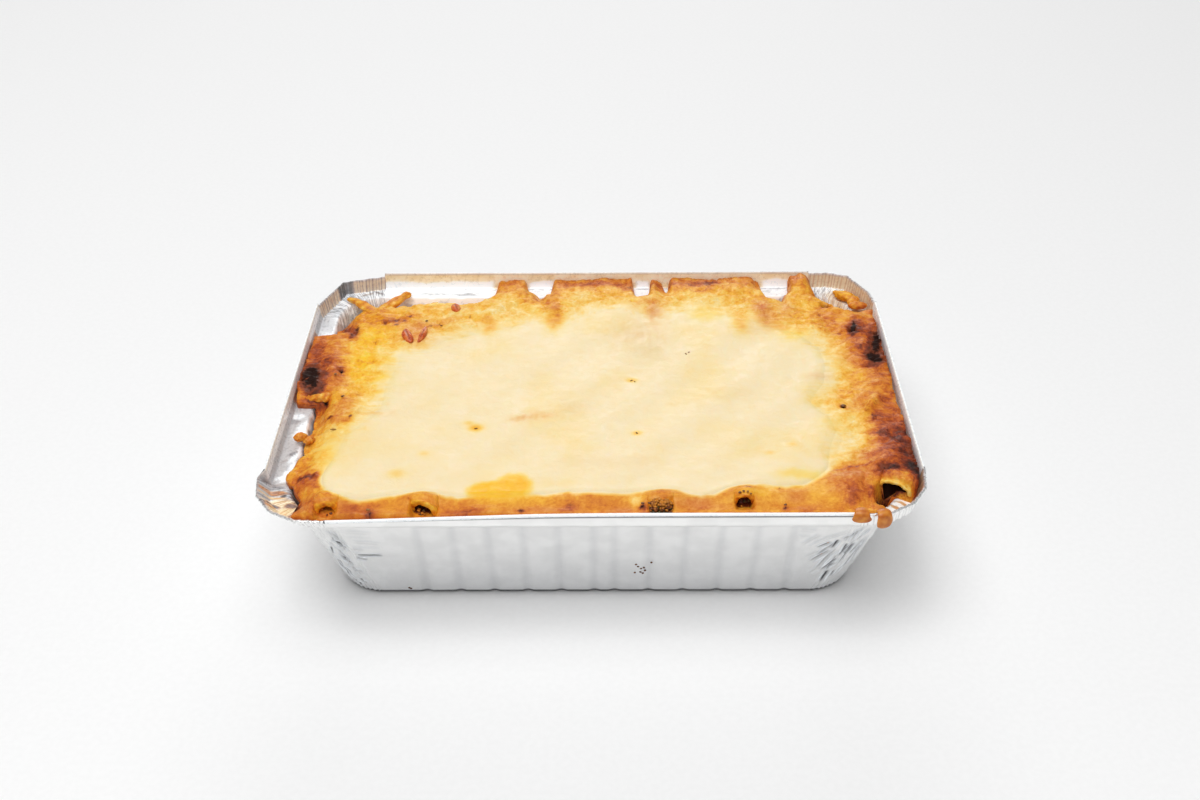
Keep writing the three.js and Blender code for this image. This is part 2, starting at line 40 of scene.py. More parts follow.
# The tray, as in the part's source
RIM_HALF = np.array([111.0, 78.0])
RIM_CORNER_R = 24.0
LEDGE_Z = 48.2
FLANGE_LENGTH = 6.8
LEDGE_WIDTH = 6.5
BASE_INSET = 23.0
BASE_LONGER = 2.7
BASE_CORNER_R = 15.5
BASE_FILLET = 1.8
CAD_FOIL = 0.5
HEM_BULGE = 0.9
CRIMP_BULGE = 0.3
FLANGE_LEAN = 3.0
BENT_LEAN = 26.0
BENT_FROM_X = 10.0
FOOT_INSET = CAD_FOIL + HEM_BULGE + FLANGE_LENGTH * np.sin(np.radians(FLANGE_LEAN))
WALL_TOP_INSET = FOOT_INSET + LEDGE_WIDTH
WALL_TOP_R = RIM_CORNER_R - WALL_TOP_INSET
FLUTES_LONG = [-59.8, -47.8, -35.8, -23.9, -12, -0.2, 6.9, 18.9, 31, 43.2, 55.3, 67.3]
FLUTES_SHORT = [-35.7, -23.8, -11.9, 0, 11.9, 23.8, 35.7]
FLUTE_WIDTH = 5.0
FLUTE_DEPTH = 0.6
PLEATS = 14
SHEET = 0.26

# Each corner's flange: lean at its start and end, walked anticlockwise, how much shorter it is,
# and the bends of its outline: share of the way round and distance out of round
CORNER_RIM = {
    "front_right": {"lean": (10, 12), "shorter": 0.6, "bends": [(0.25, 0.7), (0.5, 1.0), (0.75, 0.7)]},
    "back_right": {"lean": (8, 10), "shorter": 0.8, "bends": [(0.24, 0.2), (0.6, 2.8), (0.8, 1.6)]},
    "back_left": {"lean": (10, 12), "shorter": 1.5, "bends": [(0.45, 1.6), (0.9, -0.8)]},
    "front_left": {"lean": (48, 26), "shorter": 1.3, "bends": [(0.25, 0.6), (0.5, 0.8), (0.75, 0.6)]},
}

# The food, as in the part's source
FOOD_LEVEL = 54.0
FOOD_GAP = 0.6
FOOD_LOW = 40.0
FOOD_FLOOR_Z = 0.9
CRUST_ABOVE_LEDGE = (2.3, 3.9)
NOODLE_ENDS = [
    {"x": -87.5, "y": -72, "z": 50.2, "facing": -90, "width": 8.6, "height": 5.0, "tilt": 0},
    {"x": -55.4, "y": -72, "z": 50.2, "facing": -90, "width": 10.4, "height": 5.6, "tilt": -12},
    {"x": 22.2, "y": -71.4, "z": 50.2, "facing": -90, "width": 9.2, "height": 5.0, "tilt": 0},
    {"x": 49.6, "y": -69.2, "z": 50.2, "facing": -90, "width": 7.6, "height": 5.5, "tilt": 0},
    {"x": 100, "y": -61.8, "z": 51.3, "facing": -112, "width": 11.2, "height": 3.4, "tilt": 10},
]
# Each noodle end's wall, how far its right side stands before its left, how browned its lip is, how
# dark the painted shade in its hollow is, and how high it is filled
NOODLE_SHAPES = [
    {"wall": 1.5, "skew": 0.4, "lip": 0.48, "hollow": 0.35, "fill": 1.2},
    {"wall": 1.6, "skew": -1.8, "lip": 0.46, "hollow": 0.7, "fill": 0.5},
    {"wall": 0.8, "skew": 0.6, "lip": 0.50, "hollow": 0.55, "fill": 0.0},
    {"wall": 0.8, "skew": 0.0, "lip": 0.50, "hollow": 0.6, "fill": 0.0},
    {"wall": 0.8, "skew": 0.0, "lip": 0.22, "hollow": 0.95, "fill": 0.0},
]
TOMATO_PIECES = [
    {"x": -72.4, "y": 30.4, "rx": 1.9, "ry": 4.9, "rz": 1.6, "turn": 22},
    {"x": -66.4, "y": 31.4, "rx": 1.4, "ry": 5.2, "rz": 1.5, "turn": -10},
    {"x": -55.4, "y": 50.8, "rx": 1.8, "ry": 2.6, "rz": 1.7, "turn": 25},
]
DRIPS = [
    {"angle": -91, "rim_r": 24.4, "rim_z": 55, "hang": 2.6, "width": 5.6},
    {"angle": -74.5, "rim_r": 25.1, "rim_z": 54.5, "hang": 4.6, "width": 5.2},
]


# Numbers


def smoothstep(low, high, value):
    t = np.clip((value - low) / (high - low), 0, 1)
    return t * t * (3 - 2 * t)


def lerp(a, b, share):
    return a + (b - a) * share


def curve(a, b, c, d, t):
    """A smooth curve from b to c, with a before them and d after them."""
    return 0.5 * (2 * b + (c - a) * t + (2 * a - 5 * b + 4 * c - d) * t**2 + (3 * b - a - 3 * c + d) * t**3)


def hashed(ix, iy, seed):
    """A repeatable number between 0 and 1 for each whole-number place."""
    h = (ix * 374761393 + iy * 668265263 + seed * 974634777) & 0xFFFFFFFF
    h = ((h ^ (h >> 13)) * 1274126177) & 0xFFFFFFFF
    return ((h ^ (h >> 16)) & 0xFFFFFFFF) / 4294967296.0


def noise(x, y, size, seed):
    """Smooth noise between about -1 and 1 with features of that size."""
    u, v = np.asarray(x, float) / size, np.asarray(y, float) / size
    iu, iv = np.floor(u).astype(np.int64), np.floor(v).astype(np.int64)
    fu, fv = u - iu, v - iv
    wu = fu * fu * fu * (fu * (fu * 6 - 15) + 10)
    wv = fv * fv * fv * (fv * (fv * 6 - 15) + 10)

    def corner(du, dv):
        angle = 2 * np.pi * hashed(iu + du, iv + dv, seed)
        return np.cos(angle) * (fu - du) + np.sin(angle) * (fv - dv)

    near = lerp(corner(0, 0), corner(1, 0), wu)
    far = lerp(corner(0, 1), corner(1, 1), wu)
    return 1.5 * lerp(near, far, wv)


def layered(x, y, size, seed, layers=3, gain=0.5):
    """Noise with finer noise over it, each layer half the size of the one before."""
    total, height, reach = 0.0, 1.0, 0.0
    for k in range(layers):
        total = total + height * noise(x, y, size / 2**k, seed + k)
        reach += height
        height *= gain
    return total / reach


def cells(x, y, size, seed):
    """Distance to the nearest of scattered points, in units of the size, and a draw for that point."""
    u, v = np.asarray(x, float) / size, np.asarray(y, float) / size
    iu, iv = np.floor(u).astype(np.int64), np.floor(v).astype(np.int64)
    best = np.full(u.shape, 9.0)
    draw = np.zeros(u.shape)
    for du in (-1, 0, 1):
        for dv in (-1, 0, 1):
            cu, cv = iu + du, iv + dv
            px = cu + hashed(cu, cv, seed)
            py = cv + hashed(cu, cv, seed + 1)
            distance = np.hypot(u - px, v - py)
            closer = distance < best
            best = np.where(closer, distance, best)
            draw = np.where(closer, hashed(cu, cv, seed + 2), draw)
    return best, draw


def spot(x, y, sx, sy, rx, ry, turn=0.0, power=1.0):
    """1 in the middle of a turned ellipse, falling smoothly to 0 round it."""
    a = np.radians(turn)
    dx, dy = x - sx, y - sy
    across = (dx * np.cos(a) + dy * np.sin(a)) / rx
    along = (dy * np.cos(a) - dx * np.sin(a)) / ry
    return np.exp(-((across**2 + along**2) ** power))


# Meshes and materials


def make_mesh(name, points, faces, attributes=None):
    """A smooth piece made from points in millimetres, with painted values at each point."""
    mesh = bpy.data.meshes.new(name)
    mesh.from_pydata((np.asarray(points, float) * MM).tolist(), [], faces)
    mesh.validate()
    for key, values in (attributes or {}).items():
        layer = mesh.attributes.new(key, "FLOAT", "POINT")
        layer.data.foreach_set("value", np.asarray(values, np.float32))
    mesh.shade_smooth()
    piece = bpy.data.objects.new(name, mesh)
    bpy.context.scene.collection.objects.link(piece)
    return piece


def place(piece, look, slot, *nodes):
    """Gives a piece its material and its body, and hides the parts of the nodes that it stands for. The
    finish given as slot is not used.
    """
    piece.data.materials.append(look)
    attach(piece, "root")
    if nodes:
        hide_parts(*nodes)


def ring_faces(rows, count, flip=False):
    """Quads between closed rows of equal length."""
    faces = []
    for r in range(rows - 1):
        for i in range(count):
            j = (i + 1) % count
            a, b = r * count + i, r * count + j
            c, d = a + count, b + count
            faces.append((a, c, d, b) if flip else (a, b, d, c))
    return faces


def shifted(faces, start):
    """Faces of a shape whose points come after that many others."""
    return [tuple(start + i for i in face) for face in faces]


def colour(red, green, blue):
    """A colour as it looks on screen, 0 to 255, as the shader wants it."""
    c = np.array([red, green, blue]) / 255.0
    linear = np.where(c <= 0.04045, c / 12.92, ((c + 0.055) / 1.055) ** 2.4)
    return (*linear, 1.0)


class Shader:
    """A material's nodes, made with short calls."""

    def __init__(self, name):
        self.material = bpy.data.materials.new(name)
        self.material.use_nodes = True
        self.tree = self.material.node_tree
        self.tree.nodes.clear()
        self.output = self.tree.nodes.new("ShaderNodeOutputMaterial")
        self.surface = self.tree.nodes.new("ShaderNodeBsdfPrincipled")
        self.link(self.surface.outputs[0], self.output.inputs[0])
        self.place = self.tree.nodes.new("ShaderNodeTexCoord").outputs["Object"]

    def link(self, source, target):
        self.tree.links.new(source, target)

    def plug(self, socket, value):
        if isinstance(value, bpy.types.NodeSocket):
            self.link(value, socket)
        else:
            socket.default_value = value

    def noise(self, size, detail=3.0, rough=0.5, warp=0.0):
        node = self.tree.nodes.new("ShaderNodeTexNoise")
        self.link(self.place, node.inputs["Vector"])
        node.inputs["Scale"].default_value = 1.0 / (size * MM)
        node.inputs["Detail"].default_value = detail
        node.inputs["Roughness"].default_value = rough
        node.inputs["Distortion"].default_value = warp
        return node.outputs["Fac"]

    def cells(self, size, feature="F1"):
        node = self.tree.nodes.new("ShaderNodeTexVoronoi")
        node.feature = feature
        self.link(self.place, node.inputs["Vector"])
        node.inputs["Scale"].default_value = 1.0 / (size * MM)
        return node.outputs["Distance"]

    def math(self, operation, a, b=0.0, clamp=False):
        node = self.tree.nodes.new("ShaderNodeMath")
        node.operation = operation
        node.use_clamp = clamp
        self.plug(node.inputs[0], a)
        self.plug(node.inputs[1], b)
        return node.outputs[0]

    def stirred(self, value, grain, amount):
        """A value with grain added to it, kept between 0 and 1."""
        swing = self.math("MULTIPLY", self.math("SUBTRACT", grain, 0.5), amount)
        return self.math("ADD", value, swing, clamp=True)

    def span(self, value, low, high, to_low=0.0, to_high=1.0):
        node = self.tree.nodes.new("ShaderNodeMapRange")
        node.interpolation_type = "SMOOTHSTEP"
        self.plug(node.inputs["Value"], value)
        node.inputs["From Min"].default_value = low
        node.inputs["From Max"].default_value = high
        node.inputs["To Min"].default_value = to_low
        node.inputs["To Max"].default_value = to_high
        return node.outputs["Result"]

    def mask(self, name):
        node = self.tree.nodes.new("ShaderNodeAttribute")
        node.attribute_name = name
        return node.outputs["Fac"]

    def ramp(self, value, stops):
        node = self.tree.nodes.new("ShaderNodeValToRGB")
        self.plug(node.inputs[0], value)
        ramp = node.color_ramp
        while len(ramp.elements) < len(stops):
            ramp.elements.new(0.5)
        for element, (position, shade) in zip(ramp.elements, stops):
            element.position = position
            element.color = colour(*shade)
        return node.outputs["Color"]

    def mix(self, share, a, b, blend="MIX"):
        node = self.tree.nodes.new("ShaderNodeMix")
        node.data_type = "RGBA"
        node.blend_type = blend
        self.plug(node.inputs["Factor"], share)
        self.plug(node.inputs["A"], a)
        self.plug(node.inputs["B"], b)
        return node.outputs["Result"]

    def bump(self, height, distance, strength=1.0, under=None):
        node = self.tree.nodes.new("ShaderNodeBump")
        node.inputs["Strength"].default_value = strength
        node.inputs["Distance"].default_value = distance * MM
        self.plug(node.inputs["Height"], height)
        if under is not None:
            self.link(under, node.inputs["Normal"])
        return node.outputs["Normal"]

    def set(self, **inputs):
        for key, value in inputs.items():
            self.plug(self.surface.inputs[key.replace("_", " ")], value)
        return self.material


# The studio: the photograph's camera, a plain pale floor and soft light

CAMERA_AT = (0.0065, -0.44037, 0.35257)
CAMERA_PITCH = 34.904
CAMERA_YAW = 0.609
CAMERA_ROLL = -0.555
CAMERA_LENS = 43.5
FLOOR_HALF = 4000

# Light from all round: share of the way up, level
SURROUND = [(0.0, 0.94), (1.0, 1.0)]
SURROUND_STRENGTH = 0.30

# Square softboxes: name, turn round the tray and rise above the floor in degrees, watts
SOFTBOX_WIDTH = 1.0
SOFTBOX_AWAY = 2.0
SOFTBOXES = [
    ("key", 225, 70, 13.4), ("front", 270, 55, 8.3), ("back", 90, 25, 8.9), ("top", 0, 85, 5.2),
    ("left", 180, 70, 3.2),
]


def stand(thing, at, side, over, back):
    """Stands a thing at a place, with these as its own axes."""
    axes = Matrix(np.stack([side, over, back], 1).tolist())
    thing.matrix_world = Matrix.Translation(at) @ axes.to_4x4()
    bpy.context.scene.collection.objects.link(thing)


def make_camera():
    pitch, yaw, roll = np.radians([CAMERA_PITCH, CAMERA_YAW, CAMERA_ROLL])
    turn = np.array([[np.cos(yaw), -np.sin(yaw), 0], [np.sin(yaw), np.cos(yaw), 0], [0, 0, 1]])
    forward = turn @ [0, np.cos(pitch), -np.sin(pitch)]
    up = turn @ [0, np.sin(pitch), np.cos(pitch)]
    right = turn @ [1, 0, 0]
    rolled_right = np.cos(roll) * right + np.sin(roll) * up
    rolled_up = np.cos(roll) * up - np.sin(roll) * right
    data = bpy.data.cameras.new("camera")
    data.lens = CAMERA_LENS
    data.sensor_width = 36
    data.clip_start = 0.01
    camera = bpy.data.objects.new("camera", data)
    stand(camera, CAMERA_AT, rolled_right, rolled_up, -forward)
    bpy.context.scene.camera = camera


def make_floor():
    corners = [(x * FLOOR_HALF, y * FLOOR_HALF, 0) for x, y in ((-1, -1), (1, -1), (1, 1), (-1, 1))]
    floor = make_mesh("floor", corners, [(0, 1, 2, 3)])
    look = Shader("floor_paper")
    grain = look.noise(2.0, 2.0)
    shade = look.mix(look.span(grain, 0.3, 0.7), colour(244, 244, 244), colour(246, 246, 246))
    floor.data.materials.append(look.set(Base_Color=shade, Roughness=0.85))


def make_surround():
    world = bpy.data.worlds.new("studio")
    world.use_nodes = True
    nodes, links = world.node_tree.nodes, world.node_tree.links
    nodes.clear()
    out = nodes.new("ShaderNodeOutputWorld")
    background = nodes.new("ShaderNodeBackground")
    direction = nodes.new("ShaderNodeTexCoord")
    axes = nodes.new("ShaderNodeSeparateXYZ")
    ramp = nodes.new("ShaderNodeValToRGB")
    links.new(direction.outputs["Generated"], axes.inputs[0])
    links.new(axes.outputs["Z"], ramp.inputs[0])
    links.new(ramp.outputs["Color"], background.inputs["Color"])
    links.new(background.outputs[0], out.inputs[0])
    for element, (position, level) in zip(ramp.color_ramp.elements, SURROUND):
        element.position = position
        element.color = (level, level, level, 1)
    background.inputs["Strength"].default_value = SURROUND_STRENGTH
    bpy.context.scene.world = world


def make_softboxes():
    for name, turn, rise, power in SOFTBOXES:
        turn, rise = np.radians([turn, rise])
        at = SOFTBOX_AWAY * np.array([np.cos(rise) * np.cos(turn), np.cos(rise) * np.sin(turn), np.sin(rise)])
        data = bpy.data.lights.new(name, "AREA")
        data.shape = "RECTANGLE"
        data.size = SOFTBOX_WIDTH
        data.size_y = SOFTBOX_WIDTH
        data.energy = power
        back = at / np.linalg.norm(at)
        side = np.cross([0, 1, 0], back)
        side /= np.linalg.norm(side)
        stand(bpy.data.objects.new(name, data), at, side, np.cross(back, side), back)


make_camera()
make_floor()
make_surround()
make_softboxes()
bpy.context.scene.view_settings.view_transform = "Standard"


# The foil tray

CORNERS = ["front_right", "back_right", "back_left", "front_left"]
STRAIGHT_STEP = 0.7
CREASED_STEP = 0.35
CREASED_SHARE = 0.13
STEPS_PER_PLEAT = 10
HEM_END = 0.25
THIN_HEM = 0.75
HEM_STARTS = 0.86
HEM_TIP = 0.003
HALF_SHEET = SHEET / 2
INSIDE_SEEN_Z = 34
ON_WALL = -1.0
LEDGE_PAINTED = 0.86
FLANGE_PAINTED = 0.82
WALL_ROWS = 76
WALL_FROM_Z = 2.2
WALL_TO_Z = LEDGE_Z - 1.0

# Rows of the tray's floor: distance in from its foot, rise
FLOOR_ROWS = [(60, 0.3), (40, 0.3), (20, 0.5), (9, 0.3)]
# Rows round its foot: distance in, rise, share of the flutes and of the pleats
FOOT_ROWS = [
    (3.6, 0.0, 0.2, 0.0), (BASE_FILLET, 0.0, 0.5, 0.2), (0.9, 0.15, 0.7, 0.4), (0.3, 0.6, 0.8, 0.5),
    (-0.1, 1.2, 0.9, 0.6),
]
# Rows round the top of its wall: distance out, drop, share of the flutes
WALL_TOP_ROWS = [(0.35, 0.35, 0.5), (0.9, 0.0, 0.25)]
# Rows of the ledge: share of the way to the flange
LEDGE_ROWS = (0.2, 0.3, 0.4, 0.5, 0.6, 0.7, 0.78, 0.86, 0.94)

# Creases in the outer wall beside the corners: from and to as place along the side and height,
# half width, depth, and strength of the painted shade in their middles and painted highlight at their edges
FOLDS = [
    (-88.8, 34.4, -84.3, 28.7, 0.45, 0.5, 1.0), (-82.6, 24.6, -72.4, 24.2, 0.45, 0.4, 0.40),
    (-82.5, 22.9, -77.9, 21.5, 0.45, 0.3, 0.25), (-88.1, 24.0, -84.7, 19.3, 0.45, 0.4, 0.45),
    (-90.6, 26.9, -90.6, 22.1, 0.40, 0.4, 0.45), (-90.4, 17.3, -85.5, 4.8, 0.50, 0.5, 0.75),
    (-86.8, 18.0, -80.5, 13.0, 0.60, 0.4, 0.18), (-83.9, 9.1, -80.6, 5.7, 0.50, 0.4, 0.28),
    (-85.1, 14.5, -79.7, 11.6, 0.60, 0.4, 0.14), (-85.4, 5.6, -82.6, 3.2, 0.50, 0.4, 0.5),
    (-84.1, 37.7, -74.2, 36.6, 0.90, 0.25, 0.06), (-82.6, 32.3, -71.9, 30.0, 0.90, 0.3, 0.09),
    (-83.2, 28.2, -78.7, 26.9, 0.60, 0.3, 0.12), (-87.9, 22.8, -83.3, 17.6, 0.50, 0.4, 0.22),
    (-86.4, 31.0, -85.0, 26.0, 0.50, 0.3, 0.16),
    (82.7, 33.5, 80.7, 28.1, 0.45, 0.5, 0.9), (80.5, 32.3, 75.6, 28.2, 0.50, 0.4, 0.28),
    (80.6, 27.6, 74.1, 19.7, 0.55, 0.5, 0.24), (81.2, 26.4, 76.9, 14.8, 0.55, 0.5, 0.22),
    (82.6, 28.4, 78.6, 20.0, 0.50, 0.4, 0.18), (85.8, 31.6, 83.9, 22.5, 0.45, 0.5, 0.50),
    (83.9, 22.5, 78.3, 14.0, 0.50, 0.5, 0.30), (83.5, 19.1, 80.3, 16.0, 0.50, 0.4, 0.24),
    (86.8, 27.5, 85.7, 24.5, 0.45, 0.5, 0.55), (83.8, 13.6, 82.4, 8.7, 0.45, 0.4, 0.35),
    (87.9, 30.9, 85.8, 25.3, 0.45, 0.4, 0.40), (91.4, 30.8, 87.7, 22.0, 0.50, 0.4, 0.25),
    (88.6, 38.5, 86.6, 31.5, 0.45, 0.4, 0.20), (81.6, 14.2, 79.4, 5.5, 0.60, 0.6, 1.2),
    (78.8, 16.6, 74.6, 12.2, 0.60, 0.35, 0.12), (74.9, 37.3, 68.2, 38.4, 1.00, 0.25, 0.06),
    (76.8, 36.2, 70.9, 29.8, 0.80, 0.3, 0.10),
    (82.9, 33.6, 76.0, 24.0, 0.38, 0.4, 0.22), (86.5, 39.3, 73.6, 31.4, 0.40, 0.3, 0.10),
    (91.0, 40.1, 83.1, 33.3, 0.40, 0.4, 0.20), (88.3, 32.7, 83.1, 23.5, 0.38, 0.4, 0.24),
    (83.1, 24.5, 80.3, 12.9, 0.38, 0.4, 0.26), (92.8, 38.2, 88.6, 31.0, 0.38, 0.4, 0.20),
    (88.8, 31.8, 84.1, 16.7, 0.38, 0.4, 0.26), (91.2, 27.5, 86.8, 13.0, 0.38, 0.4, 0.22),
    (88.8, 20.6, 83.3, 8.0, 0.38, 0.4, 0.24), (93.0, 33.1, 88.8, 12.5, 0.38, 0.4, 0.20),
    (77.0, 26.7, 72.1, 22.2, 0.40, 0.3, 0.12), (-89.6, 39.8, -84.0, 30.5, 0.40, 0.4, 0.16),
    (-90.6, 32.0, -84.6, 20.5, 0.38, 0.4, 0.20), (-91.6, 22.4, -84.2, 6.6, 0.38, 0.4, 0.22),
]

# What the inner foil shows, as blots over ledge and wall, most of them painted reflection and shade:
# lightness, warmth, middle, reach each way, turn in degrees, strength. First those of the left ledge and
# the front left corner
LEFT_BLOTS = [
    (0.66, 0.12, -107, -32, 7, 26, 0, 0.9), (0.97, 0.0, -104, -22, 2.6, 7, -14, 1.0),
    (0.97, 0.0, -103.5, -36, 1.4, 7, -22, 1.0),
    (0.35, 0.1, -105, -36.2, 1.8, 0.6, 50, 0.9), (0.45, 0.2, -107.6, -40.6, 1.5, 0.5, 50, 0.8),
    (0.96, 0.0, -105, -47, 1.3, 8, -14, 1.0),
    (0.96, 0.0, -108, -50.5, 3.4, 0.8, 35, 0.9), (0.40, 0.1, -108.5, -17, 2.5, 1.4, 0, 0.7),
    (0.97, 0.0, -107, -14, 2.4, 2.0, 0, 0.9),
    (0.50, 0.3, -112, -51.5, 3, 2.4, 0, 0.8), (0.28, 0.2, -110.5, -54, 2.0, 0.8, 20, 0.9),
    (0.60, 0.2, -106, -54, 4, 1.2, 15, 0.8),
    (0.52, 1.0, -108.5, -58.6, 5.6, 1.2, 0, 1.2), (0.80, 1.0, -108, -61.2, 5.2, 0.7, 0, 1.0),
    (0.93, 0.9, -104.5, -64.2, 6.5, 2.4, 12, 1.1),
    (0.88, 1.0, -103, -69, 6, 2.6, 25, 1.1), (0.06, 0.6, -106.6, -65.6, 2.2, 0.8, -12, 1.2),
    (0.04, 0.2, -109.4, -66.4, 1.0, 0.7, 30, 1.2),
    (0.55, 1.0, -99, -71.5, 3, 1.6, 30, 0.9), (0.02, 0.3, -104.1, -60.2, 0.9, 0.7, 0, 1.3),
    (0.30, 0.6, -100.5, -65.5, 2.2, 1.2, 0, 0.9),
]
BLOTS = LEFT_BLOTS + [
    # back left: painted white reflection on the ledge, painted shade in the creases
    (0.99, 0.0, -72, 72, 34, 5, 0, 1.0), (0.80, 0.0, -66, 72.2, 6, 0.5, 0, 0.8),
    (0.72, 0.0, -78, 73.2, 4, 0.35, -6, 0.9),
    (0.72, 0.0, -54, 71.6, 5, 0.9, 3, 0.8), (0.99, 0.0, -101, 66, 6, 4, 40, 0.9),
    (0.70, 0.0, -104, 60, 3, 0.5, 60, 0.8),
    (0.62, 0.3, -94, 72, 3, 0.6, 30, 0.7), (0.55, 0.1, -89.5, 73.5, 2.2, 0.5, -30, 0.9),
    (0.74, 0.05, -106.5, 48, 3.5, 7, 0, 0.8),
    # back right corner: a white wedge of painted reflection, gold folds, browned blobs
    (0.99, 0.0, 93.5, 75, 5, 5.5, 20, 1.2), (0.84, 0.8, 98, 65, 8, 8, -30, 0.7),
    (0.99, 0.1, 96.0, 64, 0.8, 7, 28, 1.0),
    (0.99, 0.1, 92.5, 66, 0.7, 6, 24, 1.0), (0.99, 0.2, 99.2, 61.5, 0.7, 5, 32, 1.0),
    (0.99, 0.2, 101.8, 60.5, 0.6, 4, 32, 1.0),
    (0.74, 1.0, 103, 68.5, 5.5, 3.0, -20, 1.2), (0.95, 0.3, 104, 62.3, 4.2, 1.2, 0, 1.2),
    (0.15, 0.8, 92, 60, 3.2, 0.9, -35, 1.1),
    (0.58, 1.0, 105, 55, 5, 4, 0, 0.9), (0.60, 1.0, 108, 47, 3, 3, 0, 0.9),
    # front right corner: gold folds, and white folds of painted reflection
    (0.98, 0.2, 103, -70, 9, 8, 0, 0.8), (0.60, 1.0, 99, -70.5, 0.6, 5, 45, 1.0),
    (0.55, 1.0, 101.5, -68.5, 0.6, 5, 45, 1.0),
    (0.60, 1.0, 104, -66.5, 0.6, 5, 45, 0.9), (0.50, 1.0, 97, -73, 0.6, 4, 45, 0.8),
    (0.25, 0.9, 108, -50, 2.5, 16, 0, 0.9),
]

# Stretches of the back, left and right ledge where food touches the flange, whose inner face is painted there
# with shade and a warm reflection of the food: side, from, to
TOUCHES = [(2, -42, -28), (2, -17.5, 16), (2, 22, 68), (2, 80, 90), (3, -6, 40), (1, -70, 42)]


def tray_stations():
    """Walks round the tray anticlockwise from the front's left end: side, corner, place along it, turn."""
    rows = []
    for side in range(4):
        half = RIM_HALF[side % 2] - RIM_CORNER_R
        length = 2 * half
        count = int(length / STRAIGHT_STEP)
        along = np.arange(1, count) / count
        if side == 0:
            fine = np.arange(1, int(length * CREASED_SHARE / CREASED_STEP)) * CREASED_STEP / length
            middle = along[(along > CREASED_SHARE) & (along < 1 - CREASED_SHARE)]
            along = np.concatenate([fine, middle, 1 - fine[::-1]])
        along = [HEM_END / length, *along, 1 - HEM_END / length]
        rows += [(side, 0, t, 0.0) for t in along]
        steps = PLEATS * STEPS_PER_PLEAT
        rows += [(side, 1, 1.0, t) for t in np.arange(steps + 1) / steps]
    return np.array(rows)


def plan_points(stations, half_x, half_y, radius):
    """Points and outward directions of stations on a rounded rectangle."""
    side = stations[:, 0].astype(int)
    corner = stations[:, 1] > 0.5
    along, turn = stations[:, 2], stations[:, 3]
    ex, ey = half_x - radius, half_y - radius
    start = np.array([[-ex, -half_y], [half_x, -ey], [ex, half_y], [-half_x, ey]])
    end = np.array([[ex, -half_y], [half_x, ey], [-ex, half_y], [-half_x, -ey]])
    middle = np.array([[ex, -ey], [ex, ey], [-ex, ey], [-ex, -ey]])
    angle = np.radians(-90 + 90 * side + 90 * np.where(corner, turn, 0))
    normal = np.stack([np.cos(angle), np.sin(angle)], 1)
    straight = start[side] + (end[side] - start[side]) * along[:, None]
    return np.where(corner[:, None], middle[side] + radius * normal, straight), normal


def bent_out(turn, bends):
    """How far a corner stands out of round where its outline runs straight between its bends."""
    places = np.radians(90 * np.array([0, *[place_in for place_in, _ in bends], 1]))
    radii = RIM_CORNER_R + np.array([0, *[out for _, out in bends], 0])
    angle = np.radians(90) * turn
    k = np.clip(np.searchsorted(places, angle) - 1, 0, len(places) - 2)
    low, high, inner, outer = places[k], places[k + 1], radii[k], radii[k + 1]
    chord = inner * outer * np.sin(high - low) / (inner * np.sin(angle - low) + outer * np.sin(high - angle))
    return chord - RIM_CORNER_R


def rim_state(stations, foot):
    """How the upright flange stands at each station: lean in degrees, shortening, push and hem."""
    side = stations[:, 0].astype(int)
    corner = stations[:, 1] > 0.5
    turn = stations[:, 3]
    bent = np.where(side == 0, smoothstep(BENT_FROM_X, -RIM_HALF[0], foot[:, 0]), 0)
    lean = lerp(FLANGE_LEAN, BENT_LEAN, bent)
    shorter = np.zeros(len(stations))
    push = np.zeros(len(stations))
    hem = np.full(len(stations), HEM_BULGE)
    for k, name in enumerate(CORNERS):
        rim = CORNER_RIM[name]
        here = corner & (side == k)
        lean = np.where(here, lerp(rim["lean"][0], rim["lean"][1], turn), lean)
        shorter = np.where(here, rim["shorter"], shorter)
        push = np.where(here, bent_out(turn, rim["bends"]), push)
        hem = np.where(here, CRIMP_BULGE, hem)
    return np.radians(lean), shorter, push, hem


def pleat_wave(stations, slant):
    """Sharp uneven folds round each corner, 0 at its ends, shifted sideways by slant."""
    side, corner, turn = stations[:, 0], stations[:, 1] > 0.5, stations[:, 3]
    place_in = turn * PLEATS + 0.35 * noise(turn * PLEATS, side * 7.3, 1.7, 31) + slant
    fold = 1 - 2 * np.abs((place_in % 1.0) - 0.5) * 2
    depth = 0.75 + 0.5 * noise(np.floor(place_in) * 1.37, side * 5.1 + 0.5, 1.0, 37)
    ends = smoothstep(0, 0.06, turn) * smoothstep(1, 0.94, turn)
    return np.where(corner, fold * depth * ends, 0)


def crimp_lines(stations, share):
    """Fine lines of painted shade where the corner's foil is folded over itself."""
    turn = stations[:, 3]
    place_in = turn * PLEATS * 1.9 + 0.5 * noise(turn * PLEATS, stations[:, 0] * 3.1, 1.3, 39) + 0.25 * share
    near = np.abs((place_in % 1.0) - 0.5) * 2
    strong = 0.6 + 0.5 * noise(np.floor(place_in) * 1.9, stations[:, 0] * 2.3, 1.0, 43)
    return np.where(stations[:, 1] > 0.5, np.clip(smoothstep(0.5, 1.0, near) * strong, 0, 1), 0)


def flute_wave(points, stations):
    """The rounded grooves pressed into the straight walls."""
    side = stations[:, 0].astype(int)
    groove = np.zeros(len(stations))
    for odd, places in enumerate([FLUTES_LONG, FLUTES_SHORT]):
        along = points[:, odd] * np.where(side > 1, -1, 1)
        for flute in places:
            near = np.clip(np.abs(along - flute) / (FLUTE_WIDTH / 2), 0, 1)
            groove = np.maximum(groove, np.where(side % 2 == odd, 0.5 + 0.5 * np.cos(np.pi * near), 0))
    return np.where(stations[:, 1] < 0.5, groove, 0)


